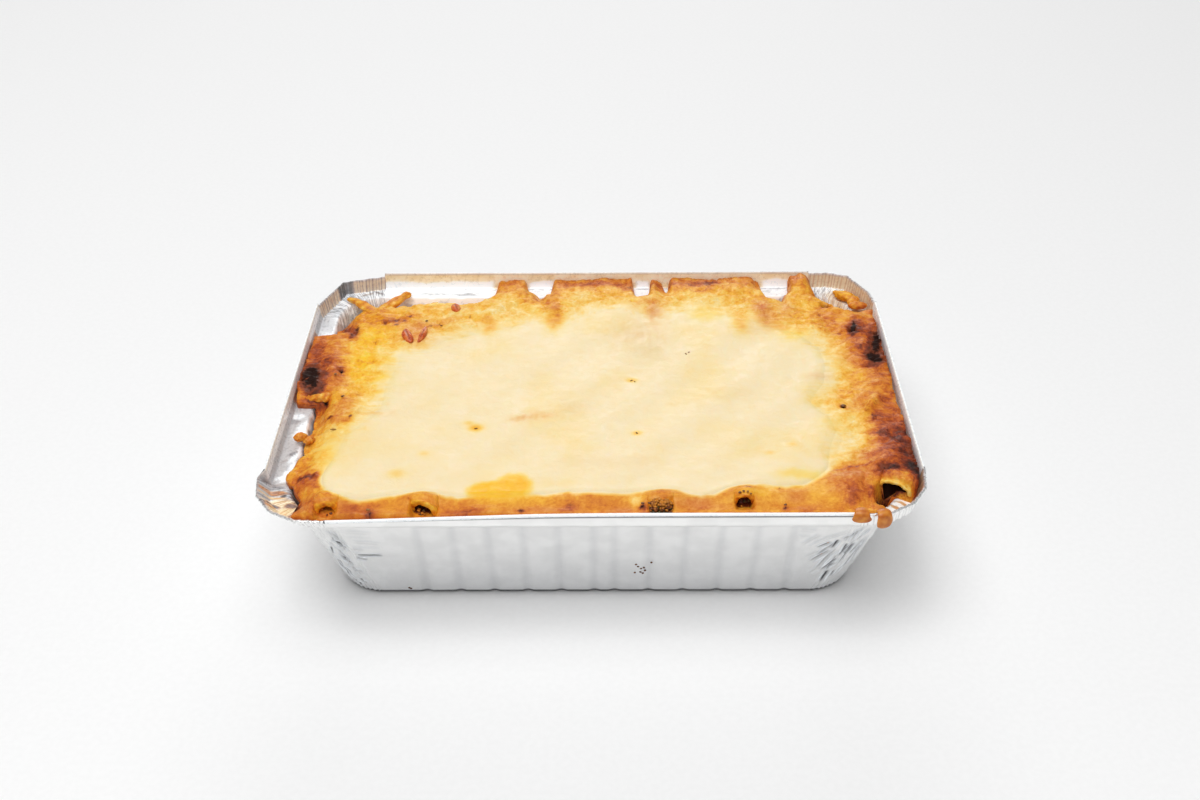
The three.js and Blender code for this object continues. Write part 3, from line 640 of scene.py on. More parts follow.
def fold_lines(x, z):
    """Depth of the creases in the outer wall, with painted shade in their middles and painted highlight along
    their edges.
    """
    depth, dark, bright = np.zeros(np.shape(x)), np.zeros(np.shape(x)), np.zeros(np.shape(x))
    for ax, az, bx, bz, width, deep, shade in FOLDS:
        ex, ez = bx - ax, bz - az
        length = np.hypot(ex, ez)
        t = np.clip(((x - ax) * ex + (z - az) * ez) / length**2, 0, 1)
        away = np.hypot(x - ax - t * ex, z - az - t * ez)
        ends = 1 - np.abs(2 * t - 1) ** 4
        dip = np.exp(-((away / width) ** 2))
        edge = np.exp(-((away / width - 2.0) ** 2))
        depth = depth - deep * ends * (dip - 0.5 * edge)
        dark = np.maximum(dark, min(2.6 * shade, 1) * ends * dip)
        bright = np.maximum(bright, min(4 * shade, 0.9) * ends * edge)
    return depth, dark, bright


def from_rim(x, y):
    """Distance inwards from the rim's outline."""
    ex, ey = RIM_HALF - RIM_CORNER_R
    dx, dy = np.abs(x) - ex, np.abs(y) - ey
    corner = (dx > 0) & (dy > 0)
    straight = np.minimum(RIM_HALF[0] - np.abs(x), RIM_HALF[1] - np.abs(y))
    return np.where(corner, RIM_CORNER_R - np.hypot(dx, dy), straight)


# The upright flange and its hem: share of the flange's length, share of the hem's bulge, painted shadow line
# under the hem
HEM_PROFILE = [
    (0.04, 0.0, 0.0), (0.12, 0.0, 0.0), (0.2, 0.0, 0.0), (0.28, 0.0, 0.0), (0.36, 0.0, 0.0),
    (0.44, 0.0, 0.0),
    (0.52, 0.0, 0.0), (0.6, 0.0, 0.0), (0.66, 0.0, 0.0), (0.72, 0.0, 0.6), (0.76, 0.0, 1.0),
    (0.84, 0.0, 1.0),
    (0.95, 0.04, 0.0), (1.0, 0.3, 0.0), (1.0, 0.7, 0.0), (0.985, 0.95, 0.0), (0.95, 1.0, 0.0),
    (0.91, 1.0, 0.0),
    (0.88, 1.0, 0.2), (0.86, 0.85, 1.0), (0.865, 0.55, 1.0),
]


def outer_paint(points, stations, share, line):
    """Painted shade and highlight on the foil's outer face: share of paint, lightness and warmth."""
    x, y, z = points.T
    height = np.clip(z / LEDGE_Z, 0, 1)
    if share < 0:
        _, folded, bright = fold_lines(x, z)
        # Painted shadow along the foot where the tray meets the floor, and painted shade in the middles of
        # the creases
        dark = np.maximum(smoothstep(2.0, 1.2, z), folded * (height > 0.05))
        # Painted shade in the flute grooves; the wall painted darker towards the bottom as painted shade;
        # crease edges painted lighter as painted highlight
        flutes = 0.16 * lerp(0.3, 1, height) * flute_wave(points, stations)
        lit = np.maximum(0.42 * (1 - height) ** 1.3 + flutes, np.maximum(dark, bright))
        tone = lerp(lerp(0.56, 1.0, bright), 0.08, dark)
        return lit, tone, np.zeros(len(x))
    straight = stations[:, 1] < 0.5
    hem = share > HEM_STARTS
    tip = straight & (np.abs(stations[:, 2] - 0.5) > 0.5 - HEM_TIP) & (share > 1)
    # The hem on the straight sides painted white as painted highlight, with the painted shadow line under it;
    # painted shade along the corners' crimps; the hem's ends painted dark
    dark = np.where(straight, line, 0.45 * crimp_lines(stations, share))
    lit = np.maximum(dark, 0.8 * (straight & hem))
    tone = np.where(straight & hem, lerp(1.0, 0.12, dark), 0.14)
    return np.where(tip, 1, lit), np.where(tip, 0.1, tone), np.zeros(len(x))


def blotted(tone, warm, blots, x, y, dimmed=0.0, shown=True):
    """Lightness and warmth with blots laid over them."""
    for light, tint, bx, by, rx, ry, angle, strength in blots:
        here = np.where(shown, np.clip(strength * 1.15 * spot(x, y, bx, by, rx, ry, angle, 2.5), 0, 1), 0)
        tone = lerp(tone, light - dimmed, here)
        warm = lerp(warm, tint, here)
    return tone, warm


def ledge_paint(points, stations, share, walk):
    """Painted reflection and shade on the ledge and the inner wall: share of paint, lightness and warmth."""
    x, y, z = points.T
    corner = stations[:, 1] > 0.5
    pleats = crimp_lines(stations, share)
    depth = LEDGE_Z - z
    inward = from_rim(x, y)
    streaks = layered(walk / 7, inward / 0.8, 1, 301, 3, 0.6)
    # Grey streaks of painted reflection, and painted shade in the crease at the flange's foot and along the
    # pleats
    foot = np.exp(-(((inward - 2.5) / 0.3) ** 2)) * smoothstep(-0.2, 0.1, noise(walk, 0 * walk, 4.5, 305))
    tone = 0.95 - 0.30 * smoothstep(0.12, 0.5, streaks) - 0.45 * foot - 0.3 * pleats
    warp_x = x + 0.8 * layered(x, y, 3, 311, 2)
    warp_y = y + 0.8 * layered(x, y, 3, 313, 2)
    dimmed = 0.14 * smoothstep(0.2, 0.5, streaks)
    tone, warm = blotted(tone, np.zeros(len(x)), BLOTS, warp_x, warp_y, dimmed)
    # Down the inner wall, below a wavy line: painted shade with hatching and darker flutes
    tongue = 2.2 + 2.6 * noise(walk, 0 * walk, 6, 317)
    tongue = tongue + 4 * spot(x, 0, -56.5, 0, 2.2, 1) + 4 * spot(x, 0, -47.5, 0, 3, 1)
    below = smoothstep(tongue, tongue + 0.6, depth)
    hatch = smoothstep(0.1, 0.6, layered(walk / 1.1, depth / 5, 1, 307, 2))
    tone = tone - below * (0.12 + 0.26 * hatch + 0.10 * flute_wave(points, stations))
    # Deeper down: a warm painted reflection of the food, and more painted shade
    warm = np.maximum(warm, 0.7 * smoothstep(6, 13, depth))
    tone = tone - 0.25 * smoothstep(8, 14, depth)
    # Painted shade along radial folds in all corners but the front right
    rays = smoothstep(0.25, 0.75, np.abs(layered(walk / 0.8, inward / 9, 1, 309, 2, 0.7)) * 2)
    tone = np.where(corner & (stations[:, 0] > 0), tone - 0.42 * rays * (1 - 0.4 * warm), tone)
    return np.full(len(x), LEDGE_PAINTED), np.clip(tone, 0, 1), warm


def corner_shades(side, turn, pleats):
    """Painted reflection and shade on the flange's inner face round each corner: lightness and warmth."""
    far = turn > 0.46
    # At the back left corner a band of painted dark reflection, crossed by pleat lines; elsewhere the pleats
    # carry painted shade
    dark_mirrored_band = smoothstep(0.34, 0.40, turn) * smoothstep(0.60, 0.54, turn)
    back_left = lerp(0.78, lerp(0.30, 0.05, far), dark_mirrored_band) - 0.6 * pleats * (1 - dark_mirrored_band)
    back_left = back_left + dark_mirrored_band * (pleats - 0.25) * lerp(0.25, 1.1, far)
    creased = np.where(turn < 0.5, 0.56, 0.94) - 0.75 * pleats**2
    front_left = np.where(turn < 0.3, 0.70 - 0.6 * pleats, creased)
    corners = [side == 2, side == 1, side == 0]
    tone = np.select(corners, [back_left, 0.80 - 0.45 * pleats, 0.66 - 0.45 * pleats], front_left)
    warm = np.select(corners, [0.6 * (1 - dark_mirrored_band) * (1 - pleats), 0.75, 0.9], smoothstep(0.28, 0.34, turn))
    return tone, warm


def flange_paint(points, stations, share, walk):
    """Painted reflection and shade on the flange's inner face: share of paint, lightness and warmth."""
    x, y, _ = points.T
    side = stations[:, 0].astype(int)
    corner, turn = stations[:, 1] > 0.5, stations[:, 3]
    along = np.where(side % 2 == 0, x, y)
    # Where food stands against the flange, its lower part is painted darker: painted shade with a warm
    # reflection of the food
    touched = np.zeros(len(x))
    for at_side, low, high in TOUCHES:
        here = smoothstep(low - 1.5, low + 1, along) * smoothstep(high + 1.5, high - 1, along)
        touched = np.maximum(touched, here * (side == at_side) * ~corner)
    # On the back, a warm painted reflection of the food above a wavy line
    wavy = 0.44 + 0.16 * noise(walk, 0 * walk, 13, 321) + 0.05 * noise(walk, 0 * walk, 3, 322)
    streaks = noise(walk / 5 + share, share * 2.5 + 0 * walk, 1, 323)
    back, left, right = side == 2, side == 3, side == 1
    mirrored = np.where(back, lerp(smoothstep(wavy - 0.1, wavy + 0.12, share), 1, touched), 0)
    tone = np.where(back, lerp(0.99, lerp(0.88, 0.94, touched), mirrored) + 0.05 * streaks, 0.93)
    tone = np.where(back, tone - 0.16 * touched * smoothstep(0.5, 0.1, share), tone)
    warm = np.where(back, mirrored, 0.0)
    low = smoothstep(0.5, 0.3, share)
    tone = np.where(left, lerp(0.93, lerp(0.68, 0.30, touched), low), tone)
    warm = np.where(left, lerp(0.0, touched, low), warm)
    low = smoothstep(0.8, 0.35, share)
    tone = np.where(right, lerp(0.98, lerp(0.88, 0.80, touched), low), tone)
    warm = np.where(right, 0.15 * low, warm)
    gathered, tint = corner_shades(side, turn, crimp_lines(stations, share))
    tone = np.where(corner, gathered + 0.06 * streaks, tone)
    warm = np.where(corner, tint, warm)
    tone, warm = blotted(tone, warm, LEFT_BLOTS, x, y, shown=corner & left)
    # The top edge painted darker and warmer
    edge = smoothstep(0.9, 0.98, share)
    tone = tone - 0.25 * edge * np.where(back | corner, 1, 0.4)
    warm = lerp(warm, 0.3, edge)
    return np.full(len(x), FLANGE_PAINTED), np.clip(tone, 0, 1), warm


def wall_rows(stations, walk, near_corner):
    """Rows of points from the middle of the tray's floor up its wall and out over the ledge."""
    rows = []

    def wall(inset, z, radius, flutes=0.0, pleats=0.0, corners=0.0, crumple=0.0, height=0.0):
        half_x = RIM_HALF[0] - inset + BASE_LONGER * (1 - height)
        points, normal = plan_points(stations, half_x, RIM_HALF[1] - inset, radius)
        relief = 0.5 * pleats * pleat_wave(stations, 2.2 * (1 - height))
        relief = relief - flutes * FLUTE_DEPTH * flute_wave(points, stations)
        folds = 1 - np.abs(layered(walk * 0.55 + 30 * height, height * 46 - walk * 0.35, 7, 41, 3))
        soft = layered(walk, height * 46, 13, 47, 2)
        relief = relief + crumple * near_corner * (0.7 * (folds - 0.75) + 0.4 * soft) + 0.12 * crumple * soft
        creased, _, _ = fold_lines(points[:, 0], z)
        relief = relief + (crumple > 0.3) * creased
        _, _, push, _ = rim_state(stations, points)
        out = relief + corners * push
        rows.append(np.column_stack([points + out[:, None] * normal, np.full(len(stations), z)]))

    for shrink, rise in FLOOR_ROWS:
        wall(BASE_INSET + shrink, HALF_SHEET + rise, max(BASE_CORNER_R - shrink, 1.5))
    for inwards, rise, flutes, pleats in FOOT_ROWS:
        radius = BASE_CORNER_R - max(inwards, 0)
        wall(BASE_INSET + inwards, HALF_SHEET + rise, radius, flutes=flutes, pleats=pleats)
    for k in range(WALL_ROWS + 1):
        z = lerp(WALL_FROM_Z, WALL_TO_Z, k / WALL_ROWS)
        h = (z - BASE_FILLET) / (WALL_TO_Z - BASE_FILLET)
        wall(
            lerp(BASE_INSET - 0.4, WALL_TOP_INSET - HALF_SHEET, h),
            z,
            lerp(BASE_CORNER_R, WALL_TOP_R + HALF_SHEET, h),
            flutes=lerp(1, 0.75, h),
            pleats=lerp(0.8, 1.1, h),
            crumple=np.sin(np.pi * np.clip(0.08 + 0.92 * h, 0, 1)) ** 0.5,
            height=h,
        )
    for outwards, drop, flutes in WALL_TOP_ROWS:
        z = LEDGE_Z - HALF_SHEET - drop
        wall(WALL_TOP_INSET - outwards, z, WALL_TOP_R + outwards, flutes=flutes, pleats=1, height=1)
    for k in LEDGE_ROWS:
        inset = lerp(WALL_TOP_INSET, FOOT_INSET, k)
        sag = 0.25 * layered(walk, 0 * walk + 6.5 * k, 6, 57, 2) * np.sin(np.pi * k)
        wall(inset, LEDGE_Z - HALF_SHEET, RIM_CORNER_R - inset, pleats=1, corners=k, crumple=0.2, height=1)
        rows[-1][:, 2] += sag
    return rows


def flange_rows(stations, walk):
    """Rows of the upright flange and its hem: points, share of its length, painted shadow line under the hem.
    """
    corner = stations[:, 1] > 0.5
    half_x, half_y = RIM_HALF - FOOT_INSET
    foot, normal = plan_points(stations, half_x, half_y, RIM_CORNER_R - FOOT_INSET)
    lean, shorter, push, hem = rim_state(stations, foot)
    long = FLANGE_LENGTH - shorter
    wave = 0.45 * pleat_wave(stations, 0)
    ragged = np.where(corner, 0.16 * noise(walk, 0 * walk, 3.1, 53), 0.06 * noise(walk, 0 * walk, 20, 54))
    bulge = np.where(corner, hem + CAD_FOIL, THIN_HEM)
    rows = []
    for share, over, line in HEM_PROFILE:
        along = share * long + (ragged if share > 0.7 else ragged * share)
        across = over * bulge + wave * lerp(0.8, 0.35, share) + HALF_SHEET
        across = across + np.where(corner, 0, (HEM_BULGE + CAD_FOIL - THIN_HEM) * smoothstep(0, 0.3, share))
        out = along * np.sin(lean) + across * np.cos(lean) + push
        z = LEDGE_Z - HALF_SHEET + along * np.cos(lean) - (across - CAD_FOIL / 2) * np.sin(lean)
        rolled = 1 if over > 0.5 else 0
        rows.append((np.column_stack([foot + out[:, None] * normal, z]), share + rolled, line))
    return rows


def both_faces(middle):
    """The sheet's outer and inner face, either side of its middle."""
    across_rows = np.gradient(middle, axis=0)
    along_ring = np.roll(middle, -1, 1) - np.roll(middle, 1, 1)
    outward = np.cross(along_ring, across_rows)
    outward /= np.maximum(np.linalg.norm(outward, axis=2, keepdims=True), 1e-9)
    hidden = middle[..., 2:] < INSIDE_SEEN_Z
    return middle + outward * HALF_SHEET, middle - outward * np.where(hidden, 3 * HALF_SHEET, HALF_SHEET)


def tray_piece():
    """The whole sheet of foil, from the middle of its outer face round the rim to its inner face."""
    stations = tray_stations()
    count = len(stations)
    rim_points, _ = plan_points(stations, RIM_HALF[0], RIM_HALF[1], RIM_CORNER_R)
    step = np.hypot(*(rim_points - np.roll(rim_points, 1, 0)).T)
    walk = np.cumsum(step)
    corner = stations[:, 1] > 0.5
    straight_half = np.where(stations[:, 0].astype(int) % 2 == 0, RIM_HALF[0], RIM_HALF[1]) - RIM_CORNER_R
    from_corner = np.where(corner, 0, (0.5 - np.abs(stations[:, 2] - 0.5)) * 2 * straight_half)
    near_corner = smoothstep(30, 0, from_corner)
    walls = wall_rows(stations, walk, near_corner)
    flange = flange_rows(stations, walk)
    shares = [ON_WALL] * len(walls) + [share for _, share, _ in flange]
    lines = [0.0] * len(walls) + [line for _, _, line in flange]
    outside, inside = both_faces(np.array(walls + [points for points, _, _ in flange]))
    outer = [outer_paint(row, stations, share, line) for row, share, line in zip(outside, shares, lines)]
    inner = []
    for row, share, line in zip(inside, shares, lines):
        if share > 1:
            inner.append(outer_paint(row, stations, share, line))
        elif share > 0:
            inner.append(flange_paint(row, stations, share, walk))
        else:
            inner.append(ledge_paint(row, stations, share, walk))
    kept = [
        k for k, share in enumerate(shares)
        if share > 0 or inside[k][0, 2] > INSIDE_SEEN_Z or k % 4 == 0 or k < 6
    ]
    grids = np.concatenate([outside, inside[kept][::-1]])
    paint = np.concatenate([np.array(outer), np.array(inner)[kept][::-1]])
    faces_out = np.array([0.45 if share > 0 else 1.0 for share in shares])
    satin = np.concatenate([faces_out, np.full(len(kept), 0.3)])
    points = list(grids.reshape(-1, 3)) + [(0, 0, 0.3), (0, 0, 0.3 + SHEET)]
    faces = ring_faces(len(grids), count)
    first, last = len(points) - 2, len(points) - 1
    last_row = (len(grids) - 1) * count
    for i in range(count):
        j = (i + 1) % count
        faces.append((first, j, i))
        faces.append((last_row + i, last_row + j, last))
    points = np.array(points)
    points[:, 2] = np.maximum(points[:, 2], 0.0)
    attributes = {
        "lit": [*paint[:, 0].ravel(), 0.5, 0.5], "tone": [*paint[:, 1].ravel(), 0.5, 0.5],
        "warm": [*paint[:, 2].ravel(), 0, 0], "satin": [*np.repeat(satin, count), 1, 1],
        "crinkle": [*np.tile(near_corner, len(grids)), 0, 0],
    }
    return make_mesh("foil_tray_sheet", points, faces, attributes)


# Painted glow: emission on the foil's painted whites, and a little on the bare foil, stands in for the
# softboxes it mirrors
FOIL_GLOW = 0.16
WALL_GLOW = 0.09


def foil_material():
    look = Shader("foil")
    crinkle, satin = look.mask("crinkle"), look.mask("satin")
    lit, tone, warm = look.mask("lit"), look.mask("tone"), look.mask("warm")
    fine = look.noise(1.3, 3.0, 0.6)
    wide = look.noise(9.0, 2.0, 0.5)
    creases = look.cells(3.4, "DISTANCE_TO_EDGE")
    crease_line = look.span(creases, 0.0, 0.12)
    bare = look.mix(look.span(wide, 0.35, 0.65), colour(236, 236, 235), colour(244, 244, 243))
    # The painted light: greys and whites for painted reflection and shade, warm tones for painted reflection
    # of the food
    light = look.stirred(tone, fine, 0.12)
    plain = look.ramp(light, [
        (0.0, (22, 23, 28)), (0.25, (84, 86, 92)), (0.5, (148, 151, 158)),
        (0.75, (202, 206, 212)), (1.0, (248, 252, 255)),
    ])
    mirrored = look.ramp(light, [
        (0.0, (40, 18, 10)), (0.25, (128, 66, 24)), (0.5, (206, 128, 44)),
        (0.7, (228, 176, 100)), (0.85, (240, 214, 158)), (1.0, (255, 246, 220)),
    ])
    painted = look.mix(warm, plain, mirrored)
    base = look.mix(lit, bare, painted)
    metal = look.span(satin, 0.2, 1.0, 0.9, 0.45)
    metal = look.math("MULTIPLY", metal, look.span(lit, 0.0, 1.0, 1.0, 0.0))
    rough = look.span(look.math("ADD", satin, look.math("MULTIPLY", fine, 0.2)), 0.0, 1.1, 0.20, 0.46)
    folds = look.math("MULTIPLY", crease_line, look.math("MULTIPLY", crinkle, 0.5))
    relief = look.bump(wide, 0.2, 0.25)
    relief = look.bump(folds, 0.25, 0.4, relief)
    relief = look.bump(fine, 0.012, 0.4, relief)
    # Painted glow where the paint is near white, and a little over the bare foil
    shown = look.math("MULTIPLY", lit, look.span(light, 0.75, 1.0, 0.0, FOIL_GLOW))
    glow = look.math("ADD", shown, look.span(lit, 0.0, 1.0, WALL_GLOW, 0.0))
    return look.set(
        Base_Color=base, Metallic=metal, Roughness=rough, Normal=relief,
        Emission_Color=base, Emission_Strength=glow,
    )


place(tray_piece(), foil_material(), "foil", "foil_tray")

# The baked surface

FOOD_HALF = RIM_HALF - WALL_TOP_INSET - FOOD_GAP
FOOD_R = WALL_TOP_R - FOOD_GAP
GRID = (352, 244)

# Rises and dips: middle, reach each way and height
LUMPS = [
    (0, -68.5, 400, 3.6, 0.3), (98, -50, 12, 11, 1.4), (-96, -58, 8, 6, 1.6), (-90, -16, 7, 8, 1.5),
    (-70, 33, 7, 5, 0.8), (-101, 67, 13, 13, -9), (-88, 73, 13, 8, -3), (98, 68.5, 9, 8, -11),
    (-106, -67, 8, 6, -6), (86, -60, 7, 6, 1.6), (84.5, -68, 3.5, 3, 1.2),
    (103, 28, 5, 16, 0.8), (103, -3, 4, 6, 0.9), (105, -46, 5, 10, 0.9), (-105, -9, 5, 3, 1.4),
    (-102, -31, 4, 4, 1.6), (3, -68, 6, 4, 0.7), (43, -65, 4, 3, 0.6), (-17, 53, 4, 7, 0.7),
    (57, 66, 12, 5, 0.6), (-100, 14, 6, 20, 0.6),
]

# Where the food sank and shows the foil behind: middle, reach each way, turn in degrees, level
SINKS = [(96.2, 64.3, 5.5, 14.0, 25, 42.0), (103.0, -67.5, 7.0, 7.0, 15, 42.0)]

# Level of the food along its back, left and right edges: place along the edge, rise
BACK_EDGE = [
    (-111, -6), (-95, -6), (-84, -9), (-66, -9), (-60, -8), (-54, -9), (-48, -8), (-43, -5), (-39, -1.2),
    (-30, -0.8), (-27, -4), (-22.5, -7), (-19, -4), (-16.5, -0.6), (0, 0.0), (14, -0.4), (16.5, -5.2),
    (20.5, -5.2),
    (23, -0.4), (26, -2.2), (28.5, -4.2), (31, -0.6), (50, 0.2), (62, 0.4), (66, -1.5), (69, -7),
    (75, -8), (77, -5),
    (79.5, 1.4), (84, 2.4), (88, 1.6), (91, -4), (96, -7), (111, -7),
]
LEFT_EDGE = [
    (-80, -3), (-64, -3.4), (-58, -4.2), (-50, -3.4), (-42, -3.2), (-38.5, -5.4), (-36.5, -8),
    (-34, -5.2), (-30, -4.8),
    (-27.5, -8), (-12, -8), (-8.5, -3), (-5, -1.0),
    (0, 0.3), (22, -0.2), (33, -0.8), (38, -5), (50, -8), (80, -6),
]
RIGHT_EDGE = [
    (-80, 0), (-60, 0.8), (-30, 0.9), (0, 0.6), (30, 0.6), (46, 0.4), (50, 1.2), (55, 1.0), (59, -3),
    (80, -4),
]

# Narrow ridges and grooves: from, to, half width, height
RIDGES = [
    (94.9, -22.5, 101.7, -12.6, 1.9, 2.0), (97.5, -9.5, 92, -4, 1.3, 0.8), (81, -55.5, 95, -53, 1.1, 0.7),
    (95, -53, 101, -49, 1.6, 0.9), (80, -50, 92, -43, 2.0, 0.7), (-96, -19, -92, -24, 1.0, 0.9),
    (-92, -24, -86, -24, 1.0, 0.8), (-86, -24, -84, -17, 1.1, 0.6), (-101, -60, -95, -56, 1.0, 0.7),
    (-98, 44, -94, 34, 0.9, -0.9), (-93.5, 40, -93, 33, 0.8, -0.8), (-86, 48, -80, 41, 1.4, 0.7),
    (-72, 44, -69, 38, 1.2, 0.7), (98, 42, 105, 44, 1.3, 0.9), (96, 38, 95, 30, 1.3, 0.8),
    (99, 12, 108, 9, 1.4, 1.0), (92, 20, 97, 26, 1.3, 0.6), (83, 4.5, 88, 5.5, 0.35, -0.25),
    (82, 1.2, 86, 1.8, 0.3, -0.2), (-101, -47, -97, -36, 1.4, 0.6), (-98, 14, -96, 3, 1.6, 0.6),
    (-40, -73, -30, -73.5, 1.2, 0.5), (28, -70, 38, -68, 1.4, 0.5), (60, -67, 72, -66, 2.0, 0.6),
]

# Steep hollows, painted dark inside as painted shade: middle, reach each way, turn in degrees, floor
PITS = [
    (96.6, -64.2, 2.5, 5.6, -25, 43.0), (-99.3, -68.8, 1.9, 1.2, -35, 50.0),
    (-103.2, -63.2, 1.3, 1.0, 0, 49.6),
    (98.7, 33, 1.3, 1.7, 0, 51.5), (91.3, 53.8, 2.0, 1.2, -30, 49.0), (88.7, -17.4, 0.8, 0.7, 0, 53.2),
    (-97.4, -9.5, 0.8, 1.8, 5, 52.6), (-94.3, 7, 0.7, 1.2, 0, 53.0),
]

# The pale cheese's edge, anticlockwise from its front left
CHEESE_EDGE = np.array([
    (-92.5, -44), (-92.3, -54), (-91.6, -60.5), (-89.8, -65), (-86.8, -67.6), (-81.8, -69.6),
    (-76.6, -70.2),
    (-72.5, -69.2), (-68.4, -68.2), (-63.6, -67.2), (-57, -66.7), (-50.3, -67.9), (-44, -69), (-38, -68.6),
    (-29, -69), (-20, -68.2), (-10, -66.4), (0, -67.2), (10, -67.2), (17, -66), (22, -65.2), (28.5, -66.4),
    (35, -69), (40, -68), (45, -65), (48.5, -63), (55, -62.4), (62, -63.4), (70, -62.4), (75, -58.8),
    (80, -54.2), (84, -46), (89, -33), (87, -22),
    (82, -14), (88, -3), (90, 9), (89, 24), (80, 35), (66, 43), (54, 48), (38, 55), (24, 50), (10, 55.5),
    (-3, 53), (-14, 44), (-26, 46), (-37, 41.5), (-50, 36), (-61, 31), (-68, 24), (-78, 21), (-78, 11),
    (-81, -3), (-81, -16), (-86, -26), (-91, -33),
])


def signed_distance(x, y, outline):
    """Distance to a closed outline, above 0 inside it."""
    best = np.full(np.shape(x), 1e9)
    inside = np.zeros(np.shape(x), bool)
    for (ax, ay), (bx, by) in zip(outline, np.roll(outline, -1, 0)):
        ex, ey = bx - ax, by - ay
        t = np.clip(((x - ax) * ex + (y - ay) * ey) / (ex * ex + ey * ey), 0, 1)
        best = np.minimum(best, (x - ax - t * ex) ** 2 + (y - ay - t * ey) ** 2)
        crosses = (ay > y) != (by > y)
        slope = np.where(by == ay, 1e-9, by - ay)
        inside ^= crosses & (x < ax + (y - ay) * ex / slope)
    return np.where(inside, 1, -1) * np.sqrt(best)


def cheese_depth(x, y):
    ragged_x = x + 1.1 * layered(x, y, 6, 71, 3)
    ragged_y = y + 1.1 * layered(x, y, 6, 75, 3)
    return signed_distance(ragged_x, ragged_y, CHEESE_EDGE)


# Paints: browning, yellow of the cheese oil, redness of the sauce
CREAM = (0.03, 0.0, 0.0)
BUTTER = (0.16, 0.15, 0.0)
GOLD = (0.36, 0.35, 0.0)
YELLOW = (0.30, 1.0, 0.0)
AMBER = (0.48, 0.25, 0.0)
OLIVE = (0.56, 0.8, 0.0)
ORANGE = (0.54, 0.1, 0.12)
PINK = (0.44, 0.0, 0.75)
RUSSET = (0.63, 0.0, 0.55)
BROWN = (0.78, 0.0, 0.4)
CHAR = (1.0, 0.0, 0.0)

